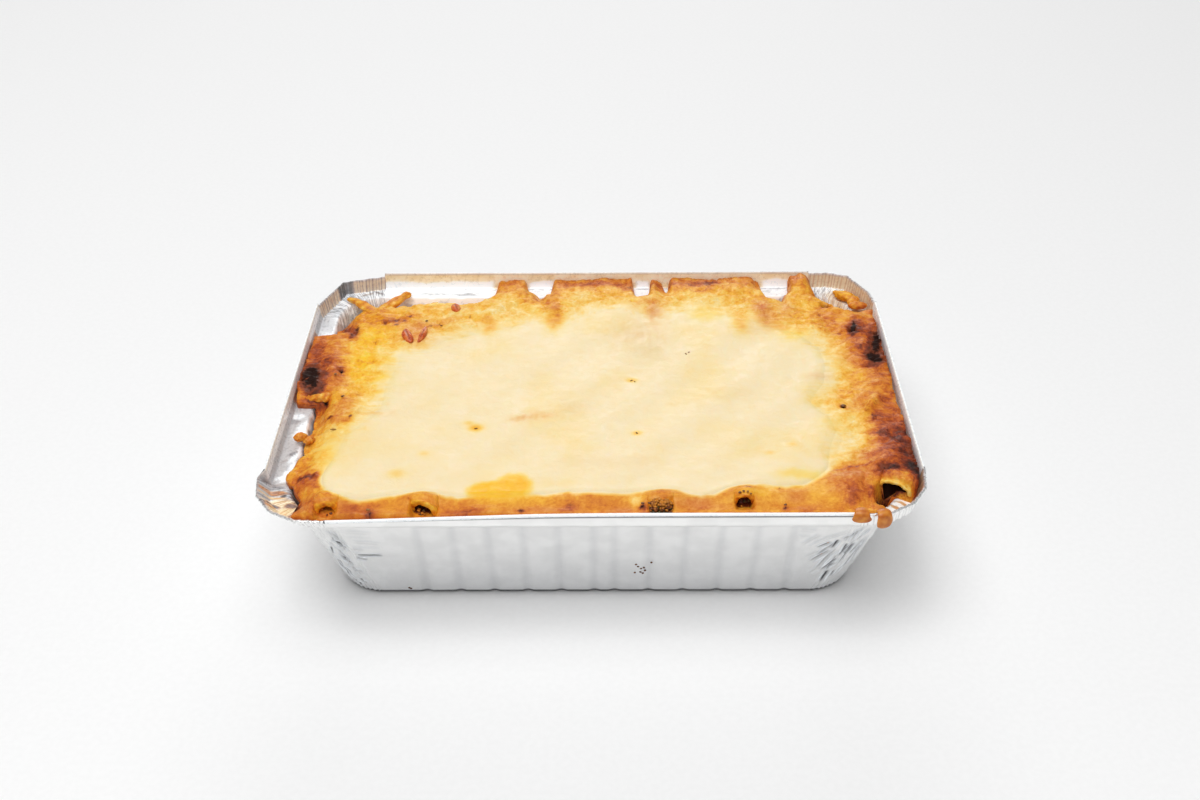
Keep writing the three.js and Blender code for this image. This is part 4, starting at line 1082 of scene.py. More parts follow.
# Strokes painted one over the other: paint, middle, reach each way, turn in degrees, strength
STROKES = [
    # left side, back to front
    (OLIVE, -90, 49, 13, 6, -12, 0.8), (GOLD, -70, 50, 14, 6, 0, 0.8), (ORANGE, -98, 40, 4, 8, 12, 0.85),
    (RUSSET, -94.5, 36, 2.2, 8, 14, 0.6), (AMBER, -104, 30, 6, 6, 0, 0.8),
    (RUSSET, -106, 24, 4, 9, 0, 0.85),
    (ORANGE, -99, 18, 5, 14, 0, 0.8), (YELLOW, -86, 30, 6, 10, -8, 1.0), (YELLOW, -87, 12, 6.5, 12, 0, 1.0),
    (OLIVE, -83, 43, 9, 5, -8, 0.8), (YELLOW, -84, 0, 6, 4, 0, 0.8), (GOLD, -86, -8, 5, 6, 0, 0.7),
    (ORANGE, -97, 8, 4.5, 12, 0, 0.8),
    (RUSSET, -103, 12, 4, 8, 0, 0.6), (PINK, -94, 0, 4, 5, 0, 0.5), (AMBER, -100, -8, 5, 8, 0, 0.8),
    (AMBER, -90, -17, 6.5, 8.5, 10, 0.95), (PINK, -90, -19, 5, 5, 0, 0.5),
    (RUSSET, -90, -24.5, 6, 1.6, -8, 0.6),
    (GOLD, -94, -13, 3, 4, 20, 0.5), (BUTTER, -94, -28, 5, 4, 0, 0.5),
    (ORANGE, -101.5, -31, 3.6, 4.5, 0, 0.85),
    (GOLD, -97, -38, 4.5, 9, 0, 0.85), (AMBER, -99, -48, 4.0, 7, 0, 0.9),
    (RUSSET, -96, -59, 7, 4.5, 0, 0.8),
    (BROWN, -95, -56.2, 5, 1.2, -10, 0.65), (BROWN, -93, -61.5, 4, 0.8, -25, 0.5),
    (AMBER, -97, -65.5, 3, 3, 0, 0.8),
    (PINK, -93, -71, 6, 3.5, 0, 0.7),
    # front, left to right
    (AMBER, -87, -67.5, 6, 3.5, 0, 0.9), (RUSSET, -77, -73, 6, 2.6, 0, 0.75),
    (AMBER, -66, -71, 8, 5, 0, 0.8),
    (ORANGE, -70, -71, 3, 3, 0, 0.5), (RUSSET, -43, -75, 7, 1.5, 0, 0.5), (ORANGE, -45, -71, 7, 3, 0, 0.5),
    (PINK, -46, -67, 9, 1.2, 0, 0.5), (YELLOW, -28.5, -62.5, 9.5, 8, 0, 1.2),
    (GOLD, -22, -70, 8, 3, 0, 0.8),
    (PINK, -15, -74, 12, 1.8, 0, 0.5), (RUSSET, -8, -73.5, 2.6, 1.8, 0, 0.9),
    (ORANGE, 3, -69.5, 8, 3.5, 0, 0.6),
    (PINK, 8, -74, 5, 1.8, 0, 0.8), (BUTTER, 14, -70, 2, 3.0, 0, 0.9), (GOLD, 21, -66, 6, 2.5, 0, 0.9),
    (ORANGE, 22, -68.5, 4.5, 2.4, 0, 0.6), (PINK, 34, -71.5, 7, 2.4, 0, 0.7),
    (PINK, 38, -67.5, 5, 1.4, 20, 0.7),
    (ORANGE, 43.5, -66, 4, 3, 0, 0.6), (BROWN, 46, -62.2, 4.5, 0.7, 35, 0.5),
    (GOLD, 56, -65, 8, 5, 0, 0.85),
    (PINK, 67, -68, 5, 2.4, 0, 0.6), (GOLD, 76, -66, 7, 5, 0, 0.8), (ORANGE, 70, -74, 9, 1.6, 0, 0.6),
    # front right corner
    (GOLD, 82, -48.5, 6, 4, 30, 0.9), (AMBER, 84, -52, 5, 2, 30, 0.8), (PINK, 86.5, -58, 8, 6, 10, 0.95),
    (RUSSET, 87, -53.6, 7, 1.1, 12, 0.8), (RUSSET, 88, -66, 7, 4.5, 0, 0.8),
    (BROWN, 85, -68.5, 3.0, 3.2, 0, 0.5),
    (PINK, 94, -47, 6, 4, 0, 0.8), (GOLD, 92, -41, 4, 3, 30, 0.6), (RUSSET, 104, -41, 7.5, 15, 0, 1.1),
    (RUSSET, 100, -46, 4, 7, 0, 0.8),
    (BROWN, 105.5, -45, 5.0, 13, 0, 0.75), (BROWN, 99.5, -55.5, 5.5, 3.2, 0, 0.9),
    (CHAR, 108.5, -57, 2.6, 6, 10, 0.7),
    (AMBER, 96, -62, 6, 1.8, -20, 0.7),
    # right side, front to back
    (RUSSET, 103, -28, 4.5, 8, 0, 1.0), (BROWN, 100.5, -23.5, 2.6, 3.4, 0, 0.8),
    (RUSSET, 108, -33, 4, 12, 0, 0.9),
    (BUTTER, 88, -36, 5, 8, 0, 0.6), (GOLD, 86, -22, 5, 4, 0, 0.7), (PINK, 95, -13, 4, 7, -20, 0.5),
    (AMBER, 98, -17, 3, 6, -18, 0.9), (RUSSET, 104, -15, 3, 9, 0, 0.75), (ORANGE, 103, -5, 4, 5, 0, 0.95),
    (AMBER, 90, -8, 6, 5, 25, 0.85), (GOLD, 96, 3, 5, 5, 0, 0.7), (AMBER, 106, 2, 3, 5, 0, 0.7),
    (ORANGE, 94, 28, 6, 12, 0, 0.5), (AMBER, 95, 8, 5, 8, 0, 0.5), (PINK, 96, 14, 4, 7, 20, 0.6),
    (ORANGE, 101, 24, 7, 16, 0, 0.75), (RUSSET, 104, 26, 3, 12, 0, 0.7),
    (AMBER, 92, 26, 4, 8, 0, 0.7), (RUSSET, 101, 37, 4, 5, 0, 0.6), (ORANGE, 90, 42, 6, 10, 0, 0.7),
    (AMBER, 80, 44, 5, 10, 0, 0.6), (GOLD, 104, 46, 4, 4, 0, 0.6),
    # back, right to left
    (AMBER, 86, 64, 6, 10, 0, 0.85), (ORANGE, 84, 72, 6, 4, 0, 0.8), (GOLD, 60, 62, 14, 7, 0, 0.7),
    (PINK, 66, 49, 4, 8, 0, 0.65), (AMBER, 56, 42, 3, 7, 0, 0.5), (PINK, 75, 50, 3, 7, 0, 0.4),
    (ORANGE, 66, 73, 6, 2.6, 0, 0.7), (AMBER, 43, 68, 4, 5, 0, 0.8), (RUSSET, 45, 72, 4, 2, 0, 0.7),
    (BUTTER, 43, 56, 7, 6, 0, 0.5), (PINK, 24, 50, 4, 8, 0, 0.55), (YELLOW, 14.5, 57, 4, 3.4, 0, 0.7),
    (RUSSET, 0, 71.5, 14, 2.0, 0, 0.75), (RUSSET, 28, 71.5, 8, 1.8, 0, 0.7), (GOLD, 6, 62, 6, 6, 0, 0.6),
    (BUTTER, -6, 60, 5, 6, 0, 0.6), (AMBER, -17, 52, 4.5, 10, 12, 0.95), (ORANGE, -16, 47, 3, 5, 15, 0.6),
    (AMBER, -25, 60, 8, 5, 0, 0.8), (ORANGE, -20, 64, 4, 4, 0, 0.5), (BUTTER, -40, 52, 10, 7, 0, 0.6),
    (AMBER, -41.5, 41, 2.4, 5, 0, 0.9), (ORANGE, -41.5, 40, 1.4, 3, 0, 0.5), (GOLD, -48, 56, 6, 4, 0, 0.7),
    (PINK, -69, 36, 6, 7, 0, 0.5), (RUSSET, -57, 43, 6, 2, 20, 0.4), (BUTTER, -56, 46, 6, 5, 0, 0.5),
]

# Small dark marks, char spots and the painted shade of pits and grooves: middle, reach each way, turn,
# strength
MARKS = [
    (-105.0, 3.5, 3.4, 7.5, 6, 1.5), (-102.5, -1, 1.8, 3.0, 0, 1.0), (-101.5, -8.5, 1.3, 1.8, 0, 0.8),
    (-98.5, 43, 1.2, 4.5, 12, 0.7), (-93, 37, 1.1, 4, 8, 0.8), (-94, 32.5, 0.9, 2.5, 0, 0.7),
    (-94.3, 7, 0.9, 1.8, 10, 0.9), (-97.4, -9.5, 1.0, 2.6, 5, 0.9), (-100.5, 4.5, 0.8, 1.8, 40, 0.6),
    (-94, -22, 1.8, 0.8, -35, 0.7),
    (-86.4, -23.5, 0.7, 1.0, 0, 0.7), (-91.5, -30, 1.2, 0.5, 0, 0.4), (-98.2, -68, 1.6, 1.1, -30, 1.1),
    (-103, -63, 1.1, 0.8, 0, 1.0),
    (-73, -75.5, 1.2, 0.9, 0, 0.9), (-99.3, -56, 0.9, 0.9, 0, 0.6), (-96, -55.6, 1.8, 0.7, 0, 0.6),
    (-23.5, -74.5, 1.3, 0.6, 0, 0.8), (-41, -74.8, 3, 0.6, 0, 0.5), (-7.5, -71.5, 1.4, 0.8, 0, 0.4),
    (16.2, -73, 1.0, 0.9, 0, 0.9),
    (62.6, -73, 0.7, 0.6, 0, 0.9), (61.7, -63.8, 0.6, 0.6, 0, 0.6), (51, -64.5, 1.0, 0.7, 0, 0.8),
    (88.7, -17.4, 0.9, 0.8, 0, 1.0), (99.6, -33.6, 1.7, 1.2, 0, 0.8), (106.5, -32.5, 1.1, 1.5, 0, 0.7),
    (103, -37.5, 0.9, 1.2, 0, 0.8),
    (107.8, -44, 1.4, 4, 0, 0.6), (97, -55, 2.0, 1.6, 30, 0.6), (98.5, -24, 0.8, 2.0, 0, 0.6),
    (104.6, 14, 3.2, 4.6, 0, 1.5), (106.8, 25, 1.9, 8.5, -12, 1.4), (99.7, 36, 1.4, 4.6, -14, 1.1),
    (98.6, 32.5, 1.5, 1.6, 0, 1.0),
    (100, 20, 0.8, 0.8, 0, 0.6), (91, 53.5, 1.6, 1.4, 40, 1.0), (93, 32, 0.7, 0.8, 0, 0.4),
    (87.8, 46, 0.8, 2, 0, 0.4),
    (-78.5, 42.5, 1.5, 1.5, 30, 0.8), (-82.2, 41, 0.7, 1.0, 0, 0.8), (-77.5, 38.5, 1.0, 1.2, 0, 0.6),
    (-73, 45, 0.9, 1.2, 0, 0.6),
    (-75, 42, 0.8, 1.0, 0, 0.6), (-61, 40, 1.0, 0.8, 0, 0.5), (-64, 38, 1.3, 0.9, 20, 0.4),
    (-49.5, 44.5, 0.6, 0.9, 0, 0.5),
    (-84, 27, 0.8, 1.6, 0, 0.3), (45, 70, 2.2, 2.6, 0, 0.5), (14, 69.5, 2.4, 1.8, 0, 0.4),
    (38.5, 70, 2, 1.2, 0, 0.4),
]

# Golden halos round specks: middle, size, strength
HALOS = [
    (13.6, -0.3, 2.0, 0.6), (14.9, -33.1, 1.8, 0.7), (-41.4, -29.9, 2.6, 0.8), (88.7, -17.3, 1.6, 0.6),
    (-44, -27, 2.0, 0.35), (-58, -45, 2.2, 0.25), (68, -40, 2.0, 0.3), (-66, -56, 3, 0.35),
    (60, -45, 1.6, 0.25),
]

# Faint tints in the pale cheese: middle, reach each way, browning, yellow, redness and greyness
TINTS = [
    (14, 27, 8, 12, 0.05, 0.0, 0.10, 0.40), (22, 18, 5, 8, 0.04, 0.2, 0.0, 0.45),
    (20, 33, 9, 8, 0.05, 0.0, 0.15, 0.25),
    (-26, -25, 4.5, 2.5, 0.16, 0.0, 0.5, 0.15), (-19, -23, 5, 2.5, 0.08, 0.0, 0.3, 0.15),
    (-7, -18, 6, 4, 0.03, 0.0, 0.15, 0.25),
    (23, 48, 3.5, 9, 0.24, 0.0, 0.6, 0.1), (17, 55, 5, 7, 0.12, 0.2, 0.2, 0.2),
    (66, 45, 4, 9, 0.30, 0.1, 0.5, 0.1),
    (56, 39, 3, 7, 0.24, 0.5, 0.1, 0.0), (72, 42, 3, 9, 0.20, 0.3, 0.2, 0.1),
    (61, 34, 8, 5, 0.06, 0.0, 0.1, 0.25),
    (76, 34, 5, 8, 0.14, 0.6, 0.0, 0.0), (43, 47, 6, 6, 0.12, 0.6, 0.0, 0.0),
    (-62, 27, 8, 5, 0.05, 0.0, 0.1, 0.25),
    (-70, 31, 6, 6, 0.24, 0.1, 0.5, 0.1), (-58, 38, 8, 5, 0.14, 0.4, 0.1, 0.2),
    (-16, 41, 3.5, 7, 0.34, 0.4, 0.1, 0.0),
    (-41, 37, 2.6, 6, 0.30, 0.3, 0.1, 0.0), (-77, -21, 7, 2, 0.10, 0.0, 0.2, 0.1),
    (-84, 3, 7, 3, 0.22, 1.0, 0.0, 0.0),
    (-83, 14, 6, 2.5, 0.2, 1.0, 0.0, 0.0), (-82, 24, 6, 2, 0.18, 1.0, 0.0, 0.0),
    (-84, -6, 6, 2, 0.18, 0.9, 0.0, 0.0),
    (83, 2, 4.5, 3, 0.10, 0.0, 0.3, 0.35), (84, -14, 6, 3, 0.25, 0.5, 0.0, 0.0),
    (84, -28, 5, 4, 0.10, 0.5, 0.1, 0.1),
    (-93, -44, 4, 8, 0.15, 0.6, 0.0, 0.0), (-12, -61, 8, 2.5, 0.06, 0.8, 0.0, 0.0),
    (70, -57, 8, 2.5, 0.12, 0.6, 0.0, 0.0), (52, -10, 9, 4, 0.03, 0.3, 0.0, 0.2),
    (8, -50, 16, 4, 0.02, 0.0, 0.1, 0.15),
]


# Patch of melted yellow cheese near the front: middle, reach each way
OIL_PATCH = [(-34, -65.5, 7.5, 4.6), (-26.5, -63, 6.2, 7.2)]


def front_calm(x, y, strength, from_y=-50, to_x=82):
    """Below 1 over the smoother band of crust along the front."""
    band = strength * smoothstep(from_y, -60, y) * smoothstep(-92, -86, x)
    return 1 - band * smoothstep(to_x, to_x - 6, x)


def baked_state(x, y):
    """Browning, yellow, redness, dark marks and greyness of the baked surface at each place."""
    warp_x = x + 1.5 * layered(x, y, 7, 81, 3, 0.6)
    warp_y = y + 1.5 * layered(x, y, 7, 87, 3, 0.6)
    depth = cheese_depth(x, y)
    at_front = smoothstep(-42, -58, y)
    sideways = smoothstep(-0.12, 0.12, np.abs(x) / RIM_HALF[0] - np.abs(y) / RIM_HALF[1])
    strings = lerp(layered(x * 0.7, y * 0.13, 1, 161, 2), layered(x * 0.11, y * 0.75, 1, 165, 2), sideways)
    width = lerp(8.0, 1.0, at_front)
    loose = 1 - 0.75 * at_front
    melt = depth / width + loose * (0.75 * layered(x, y, 9, 169, 3, 0.6) + 0.5 * strings)
    crust = smoothstep(1.2, -1.1, melt)
    rim_in = np.minimum(RIM_HALF[0] - np.abs(x), RIM_HALF[1] - np.abs(y))
    near_rim = smoothstep(22, 6, rim_in + 4 * layered(x, y, 9, 91, 2))
    browning = lerp(lerp(0.27, 0.47, near_rim), 0.43 + 0.10 * layered(x, y, 9, 173, 2), at_front)
    yellow = lerp(0.55, 0.15, near_rim)
    red = 0.08 + 0.12 * noise(x, y, 10, 93)
    for (b, yl, rd), sx, sy, rx, ry, turn, strength in STROKES:
        share = np.clip(strength * 1.1 * spot(warp_x, warp_y, sx, sy, rx, ry, turn, 1.2), 0, 1)
        browning = lerp(browning, b, share)
        yellow = lerp(yellow, yl, share)
        red = lerp(red, rd, share)
    mottle = layered(x, y, 5, 95, 3, 0.6)
    lobe, crease = lobes(x, y)
    calm = front_calm(x, y, 0.7)
    crease = crease * smoothstep(0.5, 1.0, crust)
    freckle = layered(x, y, 1.9, 175, 2, 0.7)
    # Lobe tops painted paler and creases a little browner: painted light and shade on the crust's relief
    browning = browning + calm * (0.13 * mottle + 0.06 * strings - 0.05 * (lobe - 0.65) + 0.02 * crease)
    browning = browning + 0.10 * freckle * smoothstep(0.3, 0.9, crust) * smoothstep(0.3, 0.6, browning)
    browning = browning + 0.05 * smoothstep(3.5, 0.5, rim_in - 5 + 1.2 * mottle)
    red = red + calm * 0.14 * np.clip(freckle, 0, 1)
    yellow = lerp(yellow, 0.8, smoothstep(0.9, 0.3, crust) * smoothstep(-60, -90, x))
    yellow = lerp(yellow, 0.6, smoothstep(0.85, 0.35, crust) * smoothstep(30, 45, y))
    pale = 0.03 + 0.07 * smoothstep(-0.1, 0.5, layered(x, y, 26, 97, 2)) + 0.03 * mottle
    patch = sum(spot(warp_x, warp_y, px, py, rx, ry, 0, 2.5) for px, py, rx, ry in OIL_PATCH)
    patch = np.clip(1.2 * patch, 0, 1)
    pale = lerp(pale, 0.34 + 0.10 * mottle, patch)
    browning = lerp(pale, browning, crust)
    yellow = lerp(np.maximum(0.05, patch), yellow, crust)
    red = lerp(0, red, crust)
    grey = np.zeros(np.shape(x))
    streaky = 1 + 0.5 * strings + 0.3 * mottle
    for tx, ty, rx, ry, brown, yellowness, redness, greyness in TINTS:
        share = np.clip(spot(warp_x, warp_y, tx, ty, rx, ry) * streaky, 0, 1) * (1 - 0.8 * crust)
        browning = browning + brown * share
        yellow = lerp(yellow, yellowness, np.clip(1.5 * share, 0, 1) * (brown > 0.08))
        red = red + redness * share
        grey = grey + greyness * share
    for tx, ty, size, strength in HALOS:
        share = strength * spot(x, y, tx, ty, size, size * 0.8)
        browning = lerp(browning, 0.5, share)
        yellow = lerp(yellow, 0.6, share)
    dark = np.zeros(np.shape(x))
    fine_x = x + 0.7 * layered(x, y, 2.4, 101, 3, 0.7)
    fine_y = y + 0.7 * layered(x, y, 2.4, 104, 3, 0.7)
    for mx, my, rx, ry, turn, strength in MARKS:
        here = spot(fine_x, fine_y, mx, my, rx, ry, turn, 1.0)
        dark = np.maximum(dark, strength * here)
        browning = browning + 0.25 * min(strength, 1) * spot(fine_x, fine_y, mx, my, 1.9 * rx, 1.9 * ry, turn)
    dark = dark * (1 - 0.8 * smoothstep(0.15, 0.6, layered(x, y, 2.2, 107, 3, 0.7)))
    crust = crust * front_calm(x, y, 0.45, from_y=-54, to_x=84)
    return crust, browning, yellow, np.clip(red, 0, 1), np.clip(dark, 0, 1), grey


def hollow_shade(x, y):
    """Painted shade inside the open noodle ends and in the steep pits."""
    dark = np.zeros(np.shape(x))
    for end, shape in zip(NOODLE_ENDS, NOODLE_SHAPES):
        beside, behind = noodle_frame(end, x, y)
        half = end["width"] / 2 - 0.6 * shape["wall"]
        across = smoothstep(half, half - 0.8, np.abs(beside))
        shade = shape["hollow"] * across * smoothstep(-0.4, 1.6, behind) * smoothstep(4.3, 3.9, behind)
        dark = np.maximum(dark, shade)
    for px, py, rx, ry, turn, _ in PITS:
        dark = np.maximum(dark, np.clip(1.2 * spot(x, y, px, py, rx * 0.9, ry * 0.9, turn, 2), 0, 1))
    return dark


def noodle_frame(end, x, y):
    """Place beside and behind a noodle end's opening."""
    a = np.radians(end["facing"])
    dx, dy = x - end["x"], y - end["y"]
    behind = -(dx * np.cos(a) + dy * np.sin(a))
    beside = -dx * np.sin(a) + dy * np.cos(a)
    return beside, behind


def profile(at, points):
    """A smooth value along an edge, through its listed points."""
    places, values = np.array(points, float).T
    index = np.clip(np.searchsorted(places, at) - 1, 0, len(places) - 2)
    share = smoothstep(places[index], places[index + 1], at)
    return lerp(values[index], values[index + 1], share)


def falloff(distance, reach):
    return np.exp(-((np.maximum(distance, 0) / reach) ** 2))


def broad_z(x, y):
    """Height of the baked surface without its fine relief."""
    z = FOOD_LEVEL + 0.35 * np.sin(x * 0.11 + 1.3) * np.cos(y * 0.13 + 0.4)
    z = z + 0.25 * np.sin(x * 0.23 - y * 0.19 + 2)
    for sx, sy, rx, ry, height in LUMPS:
        z = z + height * spot(x, y, sx, sy, rx, ry)
    back, left = profile(x, BACK_EDGE), profile(y, LEFT_EDGE)
    back = back + 1.6 * layered(x, 0 * x, 4.5, 117, 3, 0.6) * smoothstep(-3, -7, back)
    left = left + 1.6 * layered(y, 0 * y, 4.5, 119, 3, 0.6) * smoothstep(-3, -7, left)
    z = z + back * falloff(FOOD_HALF[1] - y, lerp(5.5, 10, smoothstep(-4, -10, back)))
    z = z + left * falloff(FOOD_HALF[0] + x, 6.5) + profile(y, RIGHT_EDGE) * falloff(FOOD_HALF[0] - x, 6.5)
    for end in NOODLE_ENDS:
        beside, behind = noodle_frame(end, x, y)
        z = z + 1.7 * np.exp(-((beside / (0.62 * end["width"])) ** 2) - ((behind - 3.0) / 3.6) ** 2)
    fold = NOODLE_ENDS[-1]
    beside, behind = noodle_frame(fold, x, y)
    half = fold["width"] / 2
    covered = smoothstep(-0.2, 0.8, behind) * smoothstep(half + 2, half, np.abs(beside))
    for sx, sy, rx, ry, turn, level in SINKS:
        sunk = np.clip(1.3 * spot(x, y, sx, sy, rx, ry, turn, 2), 0, 1) * (1 - covered)
        z = lerp(z, np.minimum(z, level), sunk)
    return np.maximum(z, FOOD_LOW)


def ridge_height(x, y):
    total = np.zeros(np.shape(x))
    for ax, ay, bx, by, width, height in RIDGES:
        ex, ey = bx - ax, by - ay
        t = np.clip(((x - ax) * ex + (y - ay) * ey) / (ex * ex + ey * ey), 0, 1)
        away = np.hypot(x - ax - t * ex, y - ay - t * ey) / width
        total = total + height * np.exp(-(away**2)) * (1 - 0.35 * np.abs(2 * t - 1) ** 2)
    return total


def lobes(x, y):
    """Rounded lobes of crust and the creases between them: height of the lobes, depth of the creases."""
    warp_x = x + 3.0 * layered(x, y, 11, 121, 2)
    warp_y = 1.15 * (y + 3.0 * layered(x, y, 11, 123, 2))
    broad = layered(warp_x, warp_y, 10, 125, 2, 0.35)
    close = layered(warp_x, warp_y, 4.4, 129, 2, 0.4)
    there = smoothstep(-0.25, 0.3, layered(x, y, 15, 127, 2))
    lobe = np.sqrt(np.abs(broad)) + 0.45 * np.sqrt(np.abs(close)) * (0.4 + 0.6 * there)
    crease = np.exp(-((broad / 0.07) ** 2)) * there + 0.5 * np.exp(-((close / 0.07) ** 2)) * (1 - 0.7 * there)
    return lobe, np.clip(crease, 0, 1)


def crust_relief(x, y, crust, browning, dark):
    """Blisters, knobs and wrinkles where it browned, soft waves in the pale cheese."""
    knobs = layered(x, y, 8, 111, 4, 0.55)
    lobe, crease = lobes(x, y)
    small, small_draw = cells(x, y, 1.9, 131)
    grit = np.clip(1 - (small / 0.6) ** 2, 0, 1) * np.where(small_draw > 0.6, 1, -0.3)
    rough = smoothstep(0.55, 0.85, browning)
    calm = front_calm(x, y, 0.75)
    firm = smoothstep(0.45, 0.95, crust)
    crumbly = np.abs(layered(x, y, 3.2, 115, 3, 0.65))
    crusty = calm * (0.9 * knobs + 0.8 * (lobe - 0.65) - 0.15 * crease * firm - 0.9 * (crumbly - 0.2) * firm)
    crusty = crusty + lerp(0.10, 0.55, rough) * grit - 0.4 * rough * crumbly
    soft = 0.30 * layered(x, y, 17, 141, 2) + 0.12 * layered(x, y, 5, 143, 2)
    return crust * crusty + soft + ridge_height(x, y) + 0.35 * dark * (grit - 0.4)


def food_z(x, y, state):
    """Height of the baked surface, from its paint."""
    crust, browning, _, _, dark, _ = state
    return broad_z(x, y) + crust_relief(x, y, crust, browning, dark)


def food_level(x, y):
    """Height of the baked surface at one place."""
    x, y = np.array([x]), np.array([y])
    return float(food_z(x, y, baked_state(x, y))[0])


def rounded_grid(columns, rows):
    """A grid of places that fills the food's rounded outline, with each one's distance to the edge."""
    u, v = np.meshgrid(np.linspace(-1, 1, columns + 1), np.linspace(-1, 1, rows + 1))
    x, y = u * FOOD_HALF[0], v * FOOD_HALF[1]
    ex, ey = FOOD_HALF - FOOD_R
    a = np.clip((np.abs(x) - ex) / FOOD_R, 0, 1)
    b = np.clip((np.abs(y) - ey) / FOOD_R, 0, 1)
    in_corner = (a > 0) & (b > 0)
    round_x = np.sign(x) * (ex + FOOD_R * a * np.sqrt(1 - b * b / 2))
    round_y = np.sign(y) * (ey + FOOD_R * b * np.sqrt(1 - a * a / 2))
    x, y = np.where(in_corner, round_x, x), np.where(in_corner, round_y, y)
    return x, y


def to_edge(x, y):
    """Distance to the food's outline and the direction towards it."""
    ex, ey = FOOD_HALF - FOOD_R
    dx, dy = np.abs(x) - ex, np.abs(y) - ey
    corner = (dx > 0) & (dy > 0)
    length = np.maximum(np.hypot(dx, dy), 1e-9)
    side_x = FOOD_HALF[0] - np.abs(x) < FOOD_HALF[1] - np.abs(y)
    straight = np.minimum(FOOD_HALF[0] - np.abs(x), FOOD_HALF[1] - np.abs(y))
    distance = np.where(corner, FOOD_R - length, straight)
    nx = np.where(corner, dx / length, np.where(side_x, 1.0, 0.0)) * np.sign(x)
    ny = np.where(corner, dy / length, np.where(side_x, 0.0, 1.0)) * np.sign(y)
    return distance, nx, ny


def crust_outline_shift(x, y):
    """Moves the surface's edge out over the ledge where the food stands above it."""
    distance, nx, ny = to_edge(x, y)
    wall_x, wall_y = x + nx * distance, y + ny * distance
    level = broad_z(wall_x, wall_y)
    above = smoothstep(LEDGE_Z + CRUST_ABOVE_LEDGE[0], LEDGE_Z + CRUST_ABOVE_LEDGE[1], level)
    ragged = 0.86 + 0.14 * layered(wall_x, wall_y, 5, 151, 2)
    reach = above * np.minimum(ragged + 0.08, 1) * (LEDGE_WIDTH + FOOD_GAP - 0.1)
    pull_in = (1 - above) * (0.3 + 0.9 * np.clip(layered(wall_x, wall_y, 6, 155, 2) + 0.2, 0, 1))
    pull_in = pull_in + slope_inset(level) * (1 - above)
    shift = reach * np.clip(1 - distance / 9, 0, 1) ** 2 - pull_in * np.clip(1 - distance / 14, 0, 1) ** 2
    return x + nx * shift, y + ny * shift


def slope_inset(z):
    """How far the tray's wall has drawn in at a height below the ledge."""
    deep = np.clip((LEDGE_Z - 1.0 - z) / (LEDGE_Z - 1.0 - BASE_FILLET), 0, 1)
    return deep * (BASE_INSET - WALL_TOP_INSET + 1.5)


def mouth_depth(x, y, z):
    """Sinks the surface inside and before each noodle end, where its dark hollow shows."""
    for end, shape in zip(NOODLE_ENDS, NOODLE_SHAPES):
        beside, behind = noodle_frame(end, x, y)
        half = end["width"] / 2 - 0.7
        away = np.abs(beside)
        inside = smoothstep(half, half - 0.7, away) * smoothstep(-0.7, 0.0, behind)
        inside = inside * smoothstep(4.1, 3.5, behind)
        apron = smoothstep(half + 0.6, half - 1.4, away) * smoothstep(-5.0, -2.6, behind)
        apron = apron * smoothstep(0.5, -0.2, behind)
        z = lerp(z, np.minimum(z, end["z"] - 0.4 + shape["fill"]), inside)
        z = lerp(z, np.minimum(z, end["z"] - 0.3 - 0.1 * behind), apron)
    for px, py, rx, ry, turn, floor in PITS:
        z = lerp(z, np.minimum(z, floor), np.clip(1.3 * spot(x, y, px, py, rx, ry, turn, 2), 0, 1))
    return z


FOOD_MASKS = ["browning", "yellow", "red", "dark", "grey", "crust"]


def food_attributes(state):
    """The paint of a grid of points, by name."""
    crust, *others = state
    return {name: values.ravel() for name, values in zip(FOOD_MASKS, [*others, crust])}


def grid_faces(columns, rows):
    index = np.arange((columns + 1) * (rows + 1)).reshape(rows + 1, columns + 1)
    a, b = index[:-1, :-1].ravel(), index[:-1, 1:].ravel()
    c, d = index[1:, 1:].ravel(), index[1:, :-1].ravel()
    border = [*index[0, :-1], *index[:-1, -1], *index[-1, :0:-1], *index[:0:-1, 0]]
    return np.stack([a, b, c, d], 1).tolist(), [int(k) for k in border]


def skirted(top, border, skirts, faces, bottom):
    """Closes a grid: rows of points hang from its border, and a middle point closes them below."""
    points = [top]
    previous = border
    start = len(top)
    count = len(border)
    for skirt in skirts:
        points.append(skirt)
        here = list(range(start, start + count))
        for i in range(count):
            j = (i + 1) % count
            faces.append((previous[j], previous[i], here[i], here[j]))
        previous, start = here, start + count
    points.append(np.array([bottom]))
    for i in range(count):
        faces.append((previous[(i + 1) % count], previous[i], start))
    return np.concatenate(points), faces


